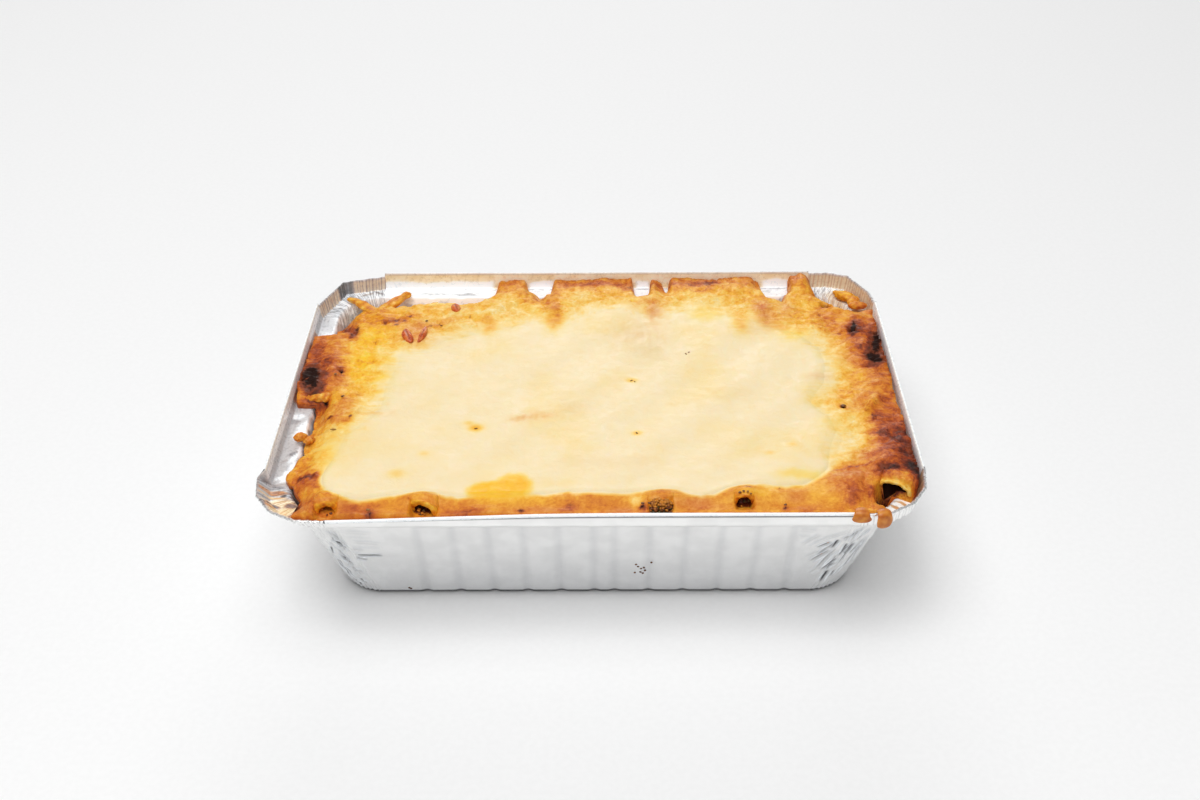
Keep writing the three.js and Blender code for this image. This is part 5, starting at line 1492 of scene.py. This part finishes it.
def crust_piece():
    x, y = rounded_grid(*GRID)
    x, y = crust_outline_shift(x, y)
    state = baked_state(x, y)
    depth = cheese_depth(x, y)
    z = food_z(x, y, state)
    at_front = smoothstep(-42, -58, y)
    z = z - 1.4 * smoothstep(lerp(5.0, 2.2, at_front), lerp(10.5, 4.8, at_front), depth)
    distance, _, _ = to_edge(x, y)
    z = z - 0.7 * smoothstep(1.6, -3.2, distance) * smoothstep(LEDGE_Z + 1, LEDGE_Z + 2.5, z)
    z = mouth_depth(x, y, z)
    # The painted shade of the noodle hollows and pits goes into the dark mask
    state = (*state[:4], np.maximum(state[4], hollow_shade(x, y)), state[5])
    z = np.maximum(z, np.where(distance < 0.2, LEDGE_Z + 0.2, 0))
    top = np.stack([x.ravel(), y.ravel(), z.ravel()], 1)
    faces, border = grid_faces(*GRID)
    edge = top[border]
    wall_distance, nx, ny = to_edge(edge[:, 0], edge[:, 1])
    wall = edge[:, :2] + np.stack([nx, ny], 1) * wall_distance[:, None]
    over = np.maximum(-wall_distance, 0)
    lip = edge.copy()
    lip[:, 2] = np.where(over > 0.3, LEDGE_Z + 0.08, edge[:, 2] - 0.4)
    tuck = np.column_stack([wall, np.minimum(lip[:, 2], LEDGE_Z + 0.05)])
    tuck[:, :2] = wall - np.stack([nx, ny], 1) * (slope_inset(tuck[:, 2]) + 0.5)[:, None]
    drawn_in = BASE_INSET + 1.8 - WALL_TOP_INSET
    shrink = (FOOD_HALF[0] - drawn_in + BASE_LONGER) / FOOD_HALF[0]
    shrink_y = (FOOD_HALF[1] - drawn_in) / FOOD_HALF[1]
    low = np.column_stack([wall[:, 0] * shrink, wall[:, 1] * shrink_y, np.full(len(wall), 5.0)])
    floor = np.column_stack([low[:, 0] * 0.96, low[:, 1] * 0.94, np.full(len(wall), FOOD_FLOOR_Z)])
    points, faces = skirted(top, border, [lip, tuck, low, floor], faces, (0, 0, FOOD_FLOOR_Z))
    extra = len(points) - len(top)
    attributes = {}
    for key, values in food_attributes(state).items():
        rest = {"browning": 0.62, "red": 0.4}.get(key, 0.0)
        attributes[key] = np.concatenate([values, np.full(extra, rest)])
    return make_mesh("baked_crust", points, faces, attributes)


CHEESE_RINGS = 112


def smooth_closed(points, count):
    """A smooth closed curve through points, as that many evenly spaced ones."""
    p = np.asarray(points, float)
    fine = []
    for k in range(len(p)):
        a, b, c, d = p[k - 1], p[k], p[(k + 1) % len(p)], p[(k + 2) % len(p)]
        for t in np.arange(24) / 24:
            fine.append(curve(a, b, c, d, t))
    fine = np.array(fine)
    steps = np.hypot(*(np.roll(fine, -1, 0) - fine).T)
    walk = np.concatenate([[0], np.cumsum(steps)])
    loop = np.vstack([fine, fine[:1]])
    at = np.linspace(0, walk[-1], count, endpoint=False)
    return np.stack([np.interp(at, walk, loop[:, 0]), np.interp(at, walk, loop[:, 1])], 1)


def cheese_piece():
    """The sheet of melted cheese: a grid drawn out to its wavy outline."""
    n = CHEESE_RINGS
    outline = smooth_closed(CHEESE_EDGE, 8 * n)
    first = int(np.argmin(outline @ np.array([1.0, 1.0])))
    outline = np.roll(outline, -first, 0)
    u, v = np.meshgrid(np.arange(-n, n + 1), np.arange(-n, n + 1))
    ring = np.maximum(np.abs(u), np.abs(v))
    safe = np.maximum(ring, 1)
    share = np.where(
        (v == -ring) & (u < ring), (u + ring) / (8.0 * safe),
        np.where(
            (u == ring) & (v < ring), 0.25 + (v + ring) / (8.0 * safe),
            np.where(
                (v == ring) & (u > -ring), 0.5 + (ring - u) / (8.0 * safe), 0.75 + (ring - v) / (8.0 * safe),
            ),
        ),
    )
    at = (share * 8 * n) % (8 * n)
    low = np.floor(at).astype(int) % (8 * n)
    high = (low + 1) % (8 * n)
    part = (at - np.floor(at))[..., None]
    edge = outline[low] * (1 - part) + outline[high] * part
    centre = np.array([0.0, -5.0])
    reach = ring[..., None] / n
    spread = centre + (edge - centre) * reach
    x, y = spread[..., 0], spread[..., 1]
    state = baked_state(x, y)
    depth = signed_distance(x, y, CHEESE_EDGE)
    at_front = smoothstep(-40, -58, y)
    slope = lerp(9.0, 2.4, at_front)
    rise = lerp(1.0, 1.15, at_front)
    z = food_z(x, y, state) - 0.5 + rise * smoothstep(0, 1, depth / slope)
    top = np.stack([x.ravel(), y.ravel(), z.ravel()], 1)
    faces, border = grid_faces(2 * n, 2 * n)
    under = top[border] - np.array([0, 0, 0.6])
    inner = under.copy()
    inner[:, :2] = under[:, :2] * 0.97
    inner[:, 2] = np.minimum(inner[:, 2], 52.4)
    flat = inner.copy()
    flat[:, :2] = inner[:, :2] * 0.9
    flat[:, 2] = 51.6
    points, faces = skirted(top, border, [under, inner, flat], faces, (0, -5, 51.6))
    extra = len(points) - len(top)
    attributes = {}
    for key, values in food_attributes(state).items():
        attributes[key] = np.concatenate([values, np.full(extra, 0.1)])
    return make_mesh("melted_cheese_sheet", points, faces, attributes)


def food_material(name, softness):
    """Baked cheese and crust: one look over both, led by the painted masks."""
    look = Shader(name)
    browning, yellow, red = look.mask("browning"), look.mask("yellow"), look.mask("red")
    dark, grey, crust = look.mask("dark"), look.mask("grey"), look.mask("crust")
    medium = look.noise(3.6, 4.0, 0.6, 0.4)
    fine = look.noise(0.9, 3.0, 0.6)
    stir = look.math("SUBTRACT", medium, 0.5)
    grain = look.math("SUBTRACT", fine, 0.5)
    stir = look.math("MULTIPLY", stir, look.span(crust, 0.0, 1.0, 0.08, 0.55))
    grain = look.math("MULTIPLY", grain, look.span(crust, 0.0, 1.0, 0.02, 0.38))
    baked = look.math("ADD", browning, look.math("ADD", stir, grain), clamp=True)
    plain = look.ramp(baked, [
        (0.0, (243, 225, 189)), (0.10, (243, 219, 164)), (0.22, (243, 203, 118)),
        (0.36, (237, 172, 58)), (0.50, (220, 136, 33)), (0.63, (196, 98, 25)),
        (0.76, (150, 60, 20)), (0.88, (86, 33, 15)), (1.0, (42, 18, 11)),
    ])
    rich = look.ramp(baked, [
        (0.0, (247, 223, 128)), (0.2, (248, 206, 58)), (0.36, (246, 184, 22)),
        (0.52, (226, 144, 18)), (0.7, (190, 100, 18)), (0.9, (100, 48, 15)),
    ])
    ruddy = look.ramp(baked, [
        (0.0, (236, 208, 172)), (0.2, (228, 172, 120)), (0.4, (211, 128, 74)),
        (0.55, (200, 100, 40)), (0.7, (160, 68, 30)), (0.85, (96, 36, 23)),
        (1.0, (46, 18, 14)),
    ])
    shade = look.mix(yellow, plain, rich)
    shade = look.mix(red, shade, ruddy)
    shade = look.mix(look.math("MULTIPLY", grey, 0.5), shade, colour(214, 190, 160))
    # The dark mask darkens the colour: char on burnt marks, painted shade in the hollows and pits
    singed_and_shaded = look.span(look.math("ADD", dark, look.math("MULTIPLY", grain, 1.5)), 0.12, 0.55)
    shade = look.mix(singed_and_shaded, shade, colour(128, 56, 22))
    charred_and_shaded = look.span(look.math("ADD", dark, look.math("MULTIPLY", grain, 2.2)), 0.42, 0.85)
    shade = look.mix(charred_and_shaded, shade, colour(40, 19, 12))
    gloss = look.span(look.math("ADD", medium, look.math("MULTIPLY", fine, 0.3)), 0.45, 0.8, 0.32, 0.55)
    pores = look.cells(0.8)
    tiny = look.math("MULTIPLY", look.span(pores, 0.0, 0.5), look.span(crust, 0.0, 1.0, 0.25, 1.0))
    relief = look.bump(medium, 0.5, 0.5)
    relief = look.bump(look.math("MULTIPLY", fine, look.span(crust, 0.2, 1.0, 0.25, 1.0)), 0.30, 0.7, relief)
    relief = look.bump(tiny, 0.06, 0.4, relief)
    look.surface.subsurface_method = "RANDOM_WALK"
    return look.set(
        Base_Color=shade, Roughness=gloss, Normal=relief,
        Specular_IOR_Level=look.span(charred_and_shaded, 0.0, 1.0, 0.30, 0.08),
        Subsurface_Weight=softness, Subsurface_Radius=(1.0, 0.55, 0.25), Subsurface_Scale=0.0022,
    )


# Pieces in and over the crust

ARCH_STEPS = 40
NOODLE_DEPTH = 6.2
# Depth behind the opening as a share, wall thickness as a share
NOODLE_ROWS = [
    (-0.05, 0.35), (-0.035, 0.75), (0.0, 1.0), (0.04, 1.0), (0.08, 1.0), (0.13, 1.0), (0.18, 1.0),
    (0.24, 1.0),
    (0.3, 1.0), (0.37, 1.0), (0.44, 1.0), (0.52, 1.0), (0.6, 1.0), (0.68, 1.0), (0.76, 1.0), (0.86, 1.0),
    (1.0, 0.9),
]


def noodle_place(end, beside, behind):
    a = np.radians(end["facing"])
    x = end["x"] - behind * np.cos(a) - beside * np.sin(a)
    y = end["y"] - behind * np.sin(a) + beside * np.cos(a)
    return x, y


def noodle_piece(number, end, shape):
    """A curled noodle end: an arched wall, open at the front, that runs back under the crust."""
    angles = np.pi * np.arange(ARCH_STEPS + 1) / ARCH_STEPS
    tilt = np.radians(end["tilt"])
    points, painted = [], []
    for share, thick in NOODLE_ROWS:
        for surface in (1, -1):
            order = angles if surface == 1 else angles[::-1]
            inward = shape["wall"] * (0.5 - 0.5 * surface * thick)
            bead = 0.35 * np.exp(-((share - 0.03) / 0.05) ** 2) * surface * thick
            wobble = 0.25 * noise(np.cos(order) * 3 + number * 9.1, np.sin(order) * 3 + share * 5, 1.3, 201)
            widen = 0.7 * smoothstep(0.02, 0.24, share) * (surface == 1)
            across = (end["width"] / 2 - inward + bead + wobble + widen) * np.cos(order)
            up = (end["height"] - inward + bead + wobble) * np.sin(order)
            across, up = across * np.cos(tilt) + up * np.sin(tilt), up * np.cos(tilt) - across * np.sin(tilt)
            behind = share * NOODLE_DEPTH + shape["skew"] * np.cos(order) * (1 - share) + 0.4 * wobble
            x, y = noodle_place(end, across, behind)
            z = end["z"] + up - 0.4 * share
            state = baked_state(x, y)
            lip = np.full(len(order), smoothstep(0.22, 0.02, share))
            if surface == 1:
                onto = smoothstep(0.02, 0.24, share) * smoothstep(0.15, 0.65, np.sin(order))
                level = food_z(x, y, state) + 0.06 - 1.4 * smoothstep(0.68, 0.86, share)
                level = level - 0.5 * smoothstep(0.4, 0.1, np.sin(order))
                z = lerp(z, level, onto)
            # Inside the arch, painted shade that darkens and browns towards the back
            deep = smoothstep(0.03, 0.4, share) if surface == -1 else 0.0
            if surface == -1:
                lip[:] = 1
            uneven = noise(order * 2, order * 0 + share * 9, 0.6, 205 + number)
            brown = shape["lip"] + 0.2 * uneven + 0.4 * deep
            points.append(np.stack([x, y, z], 1))
            painted.append(np.stack([
                lerp(state[1], brown, lip), lerp(state[2], 0.6, lip), lerp(state[3], 0.05, lip),
                lerp(state[4], 0.9 * shape["hollow"] * deep, lip), state[5] * (1 - lip),
                lerp(state[0], 0.6, lip),
            ], 1))
    count = 2 * (ARCH_STEPS + 1)
    rows = len(NOODLE_ROWS)
    faces = ring_faces(rows, count, flip=True)
    last = (rows - 1) * count
    for i in range(ARCH_STEPS):
        faces.append((i, i + 1, count - 2 - i, count - 1 - i))
        faces.append((last + i + 1, last + i, last + count - 1 - i, last + count - 2 - i))
    attributes = dict(zip(FOOD_MASKS, np.concatenate(painted).T))
    piece = make_mesh(f"noodle_end_skin_{number}", np.concatenate(points), faces, attributes)
    place(piece, pasta_look, "pasta", f"noodle_end_{number}")


def ball(steps=10):
    """Directions over a sphere and the faces between them."""
    points = [(0.0, 0.0, 1.0)]
    around = 2 * steps
    for i in range(1, steps):
        tilt = np.pi * i / steps
        for k in range(around):
            turn = 2 * np.pi * k / around
            points.append((np.sin(tilt) * np.cos(turn), np.sin(tilt) * np.sin(turn), np.cos(tilt)))
    points.append((0.0, 0.0, -1.0))
    faces = [(0, 1 + k, 1 + (k + 1) % around) for k in range(around)]
    for i in range(steps - 2):
        for k in range(around):
            a, b = 1 + i * around + k, 1 + i * around + (k + 1) % around
            faces.append((a, a + around, b + around, b))
    last = len(points) - 1
    start = last - around
    faces += [(start + (k + 1) % around, start + k, last) for k in range(around)]
    return np.array(points), faces


def lumpy(directions, seed, size=0.9, amount=0.18):
    """How far a lump swells in each direction."""
    x, y, z = directions.T
    broad = noise(x + 0.7 * z, y - 0.6 * z, size, seed)
    fine = noise(y + z, x - z, size / 2, seed + 3)
    return 1 + amount * (broad + 0.5 * fine)


def turned(points, degrees):
    a = np.radians(degrees)
    x, y, z = points.T
    return np.stack([x * np.cos(a) - y * np.sin(a), x * np.sin(a) + y * np.cos(a), z], 1)


def tomato_piece(number, lump):
    directions, faces = ball(16)
    swell = lumpy(directions, 211 + 7 * number, 1.2, 0.10)
    body = directions * swell[:, None] * [lump["rx"], lump["ry"], lump["rz"]]
    bend = 0.10 * (body[:, 1] / lump["ry"]) ** 2 * lump["rx"] * (1 if number % 2 else -1)
    body[:, 0] += 2.0 * bend
    crease = np.exp(-((body[:, 0] / (0.25 * lump["rx"])) ** 2)) * np.clip(directions[:, 2], 0, 1)
    body[:, 2] -= 0.35 * crease
    level = food_level(lump["x"], lump["y"])
    points = turned(body, lump["turn"]) + [lump["x"], lump["y"], level + 0.1]
    tone = 0.5 + 0.5 * noise(points[:, 0], points[:, 1], 2.2, 219 + number) + 0.2 * directions[:, 1]
    piece = make_mesh(f"tomato_flesh_{number}", points, faces, {"tone": tone, "scorch": 0.9 * crease})
    place(piece, tomato_look, "tomato", f"tomato_piece_{number}")


def tomato_material():
    look = Shader("tomato")
    tone, scorch = look.mask("tone"), look.mask("scorch")
    grain = look.noise(0.7, 3.0, 0.6)
    mixed = look.stirred(tone, grain, 0.7)
    shade = look.ramp(mixed, [
        (0.0, (188, 74, 30)), (0.4, (210, 98, 44)), (0.75, (226, 134, 66)), (1.0, (238, 172, 98)),
    ])
    shade = look.mix(look.math("MULTIPLY", scorch, 0.6), shade, colour(96, 30, 16))
    relief = look.bump(grain, 0.2, 0.5)
    look.surface.subsurface_method = "RANDOM_WALK"
    return look.set(
        Base_Color=shade, Roughness=look.span(grain, 0.3, 0.7, 0.22, 0.4), Normal=relief,
        Subsurface_Weight=0.15, Subsurface_Radius=(1.0, 0.3, 0.1), Subsurface_Scale=0.0015,
    )


DRIP_SIDES = 36
DRIP_ROWS = 40
# How far a drop's middle stands outside the rim's line
DRIP_CLEAR = 0.35 + HEM_BULGE


def drip_piece(number, drip):
    """A drop of sauce baked on over the rim, hanging down outside it."""
    r, z, hang = drip["rim_r"], drip["rim_z"], drip["hang"]
    path = np.array([
        (r - 2.4, z + DRIP_CLEAR - 0.9, 0.4, 0.4), (r - 1.2, z + DRIP_CLEAR - 0.4, 0.7, 0.5),
        (r + 0.4, z + DRIP_CLEAR - 0.4, 0.85, 0.55), (r + DRIP_CLEAR - 0.1, z - 0.1, 0.95, 0.6),
        (r + DRIP_CLEAR, z - 0.5 * hang, 1.08, 0.65), (r + DRIP_CLEAR - 0.1, z - 0.85 * hang, 0.9, 0.6),
        (r + DRIP_CLEAR - 0.2, z - hang, 0.4, 0.35),
    ])
    at = np.linspace(0, len(path) - 1, DRIP_ROWS)
    fine = np.stack([smooth_path(path[:, k], at) for k in range(4)], 1)
    heading = np.arctan2(np.gradient(fine[:, 1]), np.gradient(fine[:, 0]))
    turn = 2 * np.pi * np.arange(DRIP_SIDES) / DRIP_SIDES
    angle = np.radians(drip["angle"])
    middle = [RIM_HALF[0] - RIM_CORNER_R, RIM_CORNER_R - RIM_HALF[1]]
    points = []
    for k, (reach, height, wide, thick) in enumerate(fine):
        uneven = 1 + 0.10 * noise(np.cos(turn) * 1.5 + number * 5, np.sin(turn) * 1.5 + k * 0.1, 1.0, 231)
        side = drip["width"] / 2 * wide * np.cos(turn) * uneven
        lift = thick * np.sin(turn) * uneven
        out = reach - lift * np.sin(heading[k])
        x = middle[0] + out * np.cos(angle) - side * np.sin(angle)
        y = middle[1] + out * np.sin(angle) + side * np.cos(angle)
        points.append(np.stack([x, y, height + lift * np.cos(heading[k])], 1))
    points = np.concatenate(points)
    faces = ring_faces(len(fine), DRIP_SIDES)
    faces.append(tuple(range(DRIP_SIDES))[::-1])
    faces.append(tuple(range(len(points) - DRIP_SIDES, len(points))))
    tone = 0.5 + 0.5 * noise(points[:, 0], points[:, 1] + points[:, 2], 2.0, 237)
    piece = make_mesh(f"sauce_drop_{number}", points, faces, {"tone": tone})
    place(piece, sauce_look, "sauce", f"sauce_drip_{number}")


def smooth_path(values, at):
    """A smooth curve through evenly spaced values."""
    low = np.clip(np.floor(at).astype(int), 0, len(values) - 2)
    t = at - low
    a = values[np.maximum(low - 1, 0)]
    b, c = values[low], values[low + 1]
    d = values[np.minimum(low + 2, len(values) - 1)]
    return curve(a, b, c, d, t)


def sauce_material():
    look = Shader("sauce")
    tone = look.mask("tone")
    grain = look.noise(0.9, 3.0, 0.6)
    mixed = look.stirred(tone, grain, 0.6)
    shade = look.ramp(mixed, [
        (0.0, (172, 84, 18)), (0.45, (202, 116, 28)), (1.0, (224, 152, 58)),
    ])
    relief = look.bump(grain, 0.12, 0.4)
    look.surface.subsurface_method = "RANDOM_WALK"
    return look.set(
        Base_Color=shade, Roughness=look.span(grain, 0.3, 0.7, 0.3, 0.42), Normal=relief,
        Subsurface_Weight=0.1, Subsurface_Radius=(1.0, 0.5, 0.2), Subsurface_Scale=0.001,
    )


# Crisp strands of cheese: points along them, radius, browning, redness
CRISP_STRANDS = [
    ([(-87.5, 52, 50.2), (-84, 58, 50.4), (-79.2, 66, 50.1), (-76.2, 70.4, 49.8)], 2.2, 0.45, 0.0),
    ([(-86, 50, 50.8), (-92, 57, 51.0), (-96, 62, 50.6), (-101.1, 66.4, 49.7)], 2.0, 0.44, 0.0),
    ([(-96, -9, 52.8), (-101, -7.4, 52.0), (-107.2, -6.2, 50.2)], 1.8, 0.47, 0.1),
]
STRAND_ROWS = 36


def strands_piece():
    points, faces, browning, red = [], [], [], []
    start = 0
    sides = 20
    last = STRAND_ROWS - 1
    for number, (path, radius, brown, ruddy) in enumerate(CRISP_STRANDS):
        path = np.array(path, float)
        at = np.linspace(0, len(path) - 1, STRAND_ROWS)
        fine = np.stack([smooth_path(path[:, k], at) for k in range(3)], 1)
        ahead = np.gradient(fine, axis=0)
        ahead /= np.linalg.norm(ahead, axis=1, keepdims=True)
        across = np.cross(ahead, [0, 0, 1])
        across /= np.linalg.norm(across, axis=1, keepdims=True)
        over = np.cross(across, ahead)
        ends = np.sqrt(np.clip(1 - np.abs(2 * np.arange(STRAND_ROWS) / last - 1) ** 6, 0.02, 1))
        turn = 2 * np.pi * np.arange(sides) / sides
        for k in range(STRAND_ROWS):
            taper = lerp(1.35, 0.72, k / last)
            uneven = 1 + 0.40 * noise(np.cos(turn) + k * 0.12, np.sin(turn) + number * 3.3, 0.9, 241)
            size = radius * taper * ends[k] * uneven
            around = np.cos(turn)[:, None] * across[k] + 0.6 * np.sin(turn)[:, None] * over[k]
            points.append(fine[k] + size[:, None] * around)
            browning.append(brown + 0.20 * noise(turn * 0 + k * 0.25, turn + number, 1.1, 245))
            red.append(np.full(sides, ruddy))
        faces += shifted(ring_faces(STRAND_ROWS, sides), start)
        faces.append(tuple(start + i for i in range(sides))[::-1])
        faces.append(tuple(start + last * sides + i for i in range(sides)))
        start += STRAND_ROWS * sides
    browning = np.concatenate(browning)
    attributes = {
        "browning": browning, "yellow": 0.2 + 0 * browning, "red": np.concatenate(red),
        "dark": 0 * browning, "grey": 0 * browning, "crust": 1 + 0 * browning,
    }
    piece = make_mesh("crisp_strands", np.concatenate(points), faces, attributes)
    place(piece, crust_look, "crust")


# Blobs of cheese baked onto the foil and the crust: middle, reach each way, turn, browning, yellow, redness
BLOBS = [
    (101.2, 65.6, 50.3, 4.6, 2.6, 1.7, -32, 0.44, 0.5, 0.0),
    (103.6, 61.6, 50.2, 2.6, 3.2, 1.6, -10, 0.48, 0.3, 0.1),
    (98.6, 69.7, 49.4, 2.2, 1.2, 0.9, -20, 0.40, 0.6, 0.0),
    (104.4, 56.6, 51.4, 3.6, 1.7, 1.5, -4, 0.52, 0.2, 0.2),
    (-103.4, -30.2, 50.9, 2.4, 1.8, 1.5, 15, 0.50, 0.3, 0.2),
    (-99.6, -33.0, 51.6, 2.0, 1.6, 1.3, 40, 0.52, 0.2, 0.3),
    (98.8, -16.6, 54.9, 1.7, 5.6, 1.5, -32, 0.47, 0.2, 0.1),
]


def blobs_piece():
    directions, ball_faces = ball(18)
    points, faces, paint = [], [], []
    for k, (x, y, z, rx, ry, rz, turn, browning, yellow, red) in enumerate(BLOBS):
        swell = lumpy(directions, 271 + 5 * k, 0.7, 0.22)
        body = directions * swell[:, None] * [rx, ry, rz]
        start = k * len(directions)
        points.append(turned(body, turn) + [x, y, z])
        faces.extend(shifted(ball_faces, start))
        shade = browning + 0.16 * noise(directions[:, 0] * 2 + k, directions[:, 1] * 2, 0.8, 277)
        flat = np.ones(len(directions))
        paint.append(np.stack([shade, yellow * flat, red * flat, 0 * flat, 0 * flat, flat], 1))
    attributes = dict(zip(FOOD_MASKS, np.concatenate(paint).T))
    piece = make_mesh("baked_blobs", np.concatenate(points), faces, attributes)
    place(piece, crust_look, "crust")


# Specks of herb and burnt cheese: middle, reach each way, turn
FLECKS = [
    (13.4, -0.6, 0.55, 0.22, 35), (14.6, -1.4, 0.3, 0.2, 0), (14.9, -33.1, 0.55, 0.25, -50),
    (-41.4, -30.2, 0.6, 0.3, 10),
    (34.1, 16.3, 0.6, 0.2, -60), (35.2, 17.4, 0.4, 0.18, 20), (-95.7, 3.1, 0.8, 0.4, 70),
    (-90.9, -11.2, 0.7, 0.35, 20),
    (88.7, -17.3, 0.9, 0.7, 0), (-60, 38, 0.5, 0.3, 0), (-66, 41, 0.6, 0.4, 40), (62.6, -72.6, 0.5, 0.4, 0),
    (48.0, -68.4, 0.5, 0.4, 20), (49.3, -68.0, 0.45, 0.35, 0), (50.6, -68.1, 0.5, 0.4, 60),
    (51.6, -68.8, 0.4, 0.35, 0),
    (16.2, -72.8, 0.6, 0.5, 0), (18.3, -72.6, 0.5, 0.4, 0), (-73, -74.8, 0.7, 0.5, 0),
    (-91.5, -30, 1.1, 0.2, 0),
]
# Specks of dirt on the front wall: place along it and height
WALL_SPECKS = [
    (14.4, 18.2), (15.1, 16.9), (16.2, 15.6), (14.0, 13.0), (16.0, 13.4), (17.2, 16.2), (17.6, 14.4),
    (19.7, 19.4),
    (16.8, 12.6), (-66, 3.4), (-65.4, 3.0),
]
# Minced filling in the open noodle ends: noodle, share of grains that are green, count. One is heaped.
FILLINGS = [(0, 0.1, 10), (1, 0.35, 26), (2, 0.45, 260), (3, 0.1, 8)]
HEAPED = 2


def flecks_piece():
    directions, ball_faces = ball(6)
    points, faces, tone, green = [], [], [], []

    def grain(x, y, z, rx, ry, rz, turn, shade, herb, seed):
        start = sum(len(p) for p in points)
        body = directions * lumpy(directions, seed, 0.8, 0.35)[:, None] * [rx, ry, rz]
        points.append(turned(body, turn) + [x, y, z])
        faces.extend(shifted(ball_faces, start))
        tone.append(np.full(len(directions), shade))
        green.append(np.full(len(directions), herb))

    for k, (x, y, rx, ry, turn) in enumerate(FLECKS):
        z = food_level(x, y) + 0.55
        grain(x, y, z, rx, ry, 0.22, turn, 0.35 + 0.4 * hashed(k, 3, 251), 0.3, 253 + k)
    for k, (x, z) in enumerate(WALL_SPECKS):
        rise = (z - BASE_FILLET) / (LEDGE_Z - 1.0 - BASE_FILLET)
        wall_y = lerp(BASE_INSET - 0.4, WALL_TOP_INSET, rise) - RIM_HALF[1] - SHEET
        grain(x, wall_y, z, 0.42, 0.2, 0.34, 0, 0.25 + 0.2 * hashed(k, 5, 281), 0.3, 283 + k)
    for number, green_share, count in FILLINGS:
        end, wall = NOODLE_ENDS[number], NOODLE_SHAPES[number]["wall"]
        for k in range(count):
            draw = [hashed(k, number * 7 + j, 257) for j in range(6)]
            beside = (2 * draw[0] - 1) * (end["width"] / 2 - wall)
            behind = -0.6 + 4.0 * draw[1]
            x, y = noodle_place(end, beside, behind)
            z = end["z"] - 0.2 + 0.42 * max(behind, 0) + 0.7 * draw[2]
            herbs = green_share
            if number == HEAPED:
                beside, behind = 1.15 * beside, behind - 2.6
                x, y = noodle_place(end, beside, behind)
                dome = 1 - (beside / (0.52 * end["width"])) ** 2 - (behind / 4.4) ** 2
                high = np.sqrt(max(dome, 0)) * draw[2] ** 0.25
                z = end["z"] + 5.6 * high
                draw[5] = lerp(draw[5], 0.95, high**3)
                herbs = 0.45 * (1 - high**2)
            size = 0.28 + 0.4 * draw[3]
            herb = float(draw[2] < herbs)
            grain(x, y, z, size, size * 0.8, size * 0.7, 180 * draw[4], draw[5], herb, 263 + k)
    attributes = {"tone": np.concatenate(tone), "green": np.concatenate(green)}
    piece = make_mesh("herb_and_mince_grains", np.concatenate(points), faces, attributes)
    place(piece, fleck_material(), "crust")


def fleck_material():
    look = Shader("flecks")
    tone, green = look.mask("tone"), look.mask("green")
    grain = look.noise(0.5, 2.0, 0.6)
    mixed = look.stirred(tone, grain, 0.5)
    brown = look.ramp(mixed, [(0.0, (36, 18, 10)), (0.5, (126, 66, 16)), (1.0, (216, 140, 38))])
    herb = look.ramp(mixed, [(0.0, (30, 28, 16)), (0.5, (72, 66, 36)), (1.0, (112, 102, 56))])
    shade = look.mix(green, brown, herb)
    rough = look.span(grain, 0.3, 0.7, 0.4, 0.6)
    return look.set(Base_Color=shade, Roughness=rough, Normal=look.bump(grain, 0.1, 0.5))


crust_look = food_material("crust", 0.08)
cheese_look = food_material("cheese", 0.25)
place(crust_piece(), crust_look, "crust", "lasagna")
place(cheese_piece(), cheese_look, "cheese", "melted_cheese")
pasta_look = food_material("pasta", 0.15)
for k, (end, shape) in enumerate(zip(NOODLE_ENDS, NOODLE_SHAPES)):
    noodle_piece(k + 1, end, shape)
tomato_look = tomato_material()
for k, lump in enumerate(TOMATO_PIECES):
    tomato_piece(k + 1, lump)
sauce_look = sauce_material()
for k, drip in enumerate(DRIPS):
    drip_piece(k + 1, drip)
strands_piece()
blobs_piece()
flecks_piece()
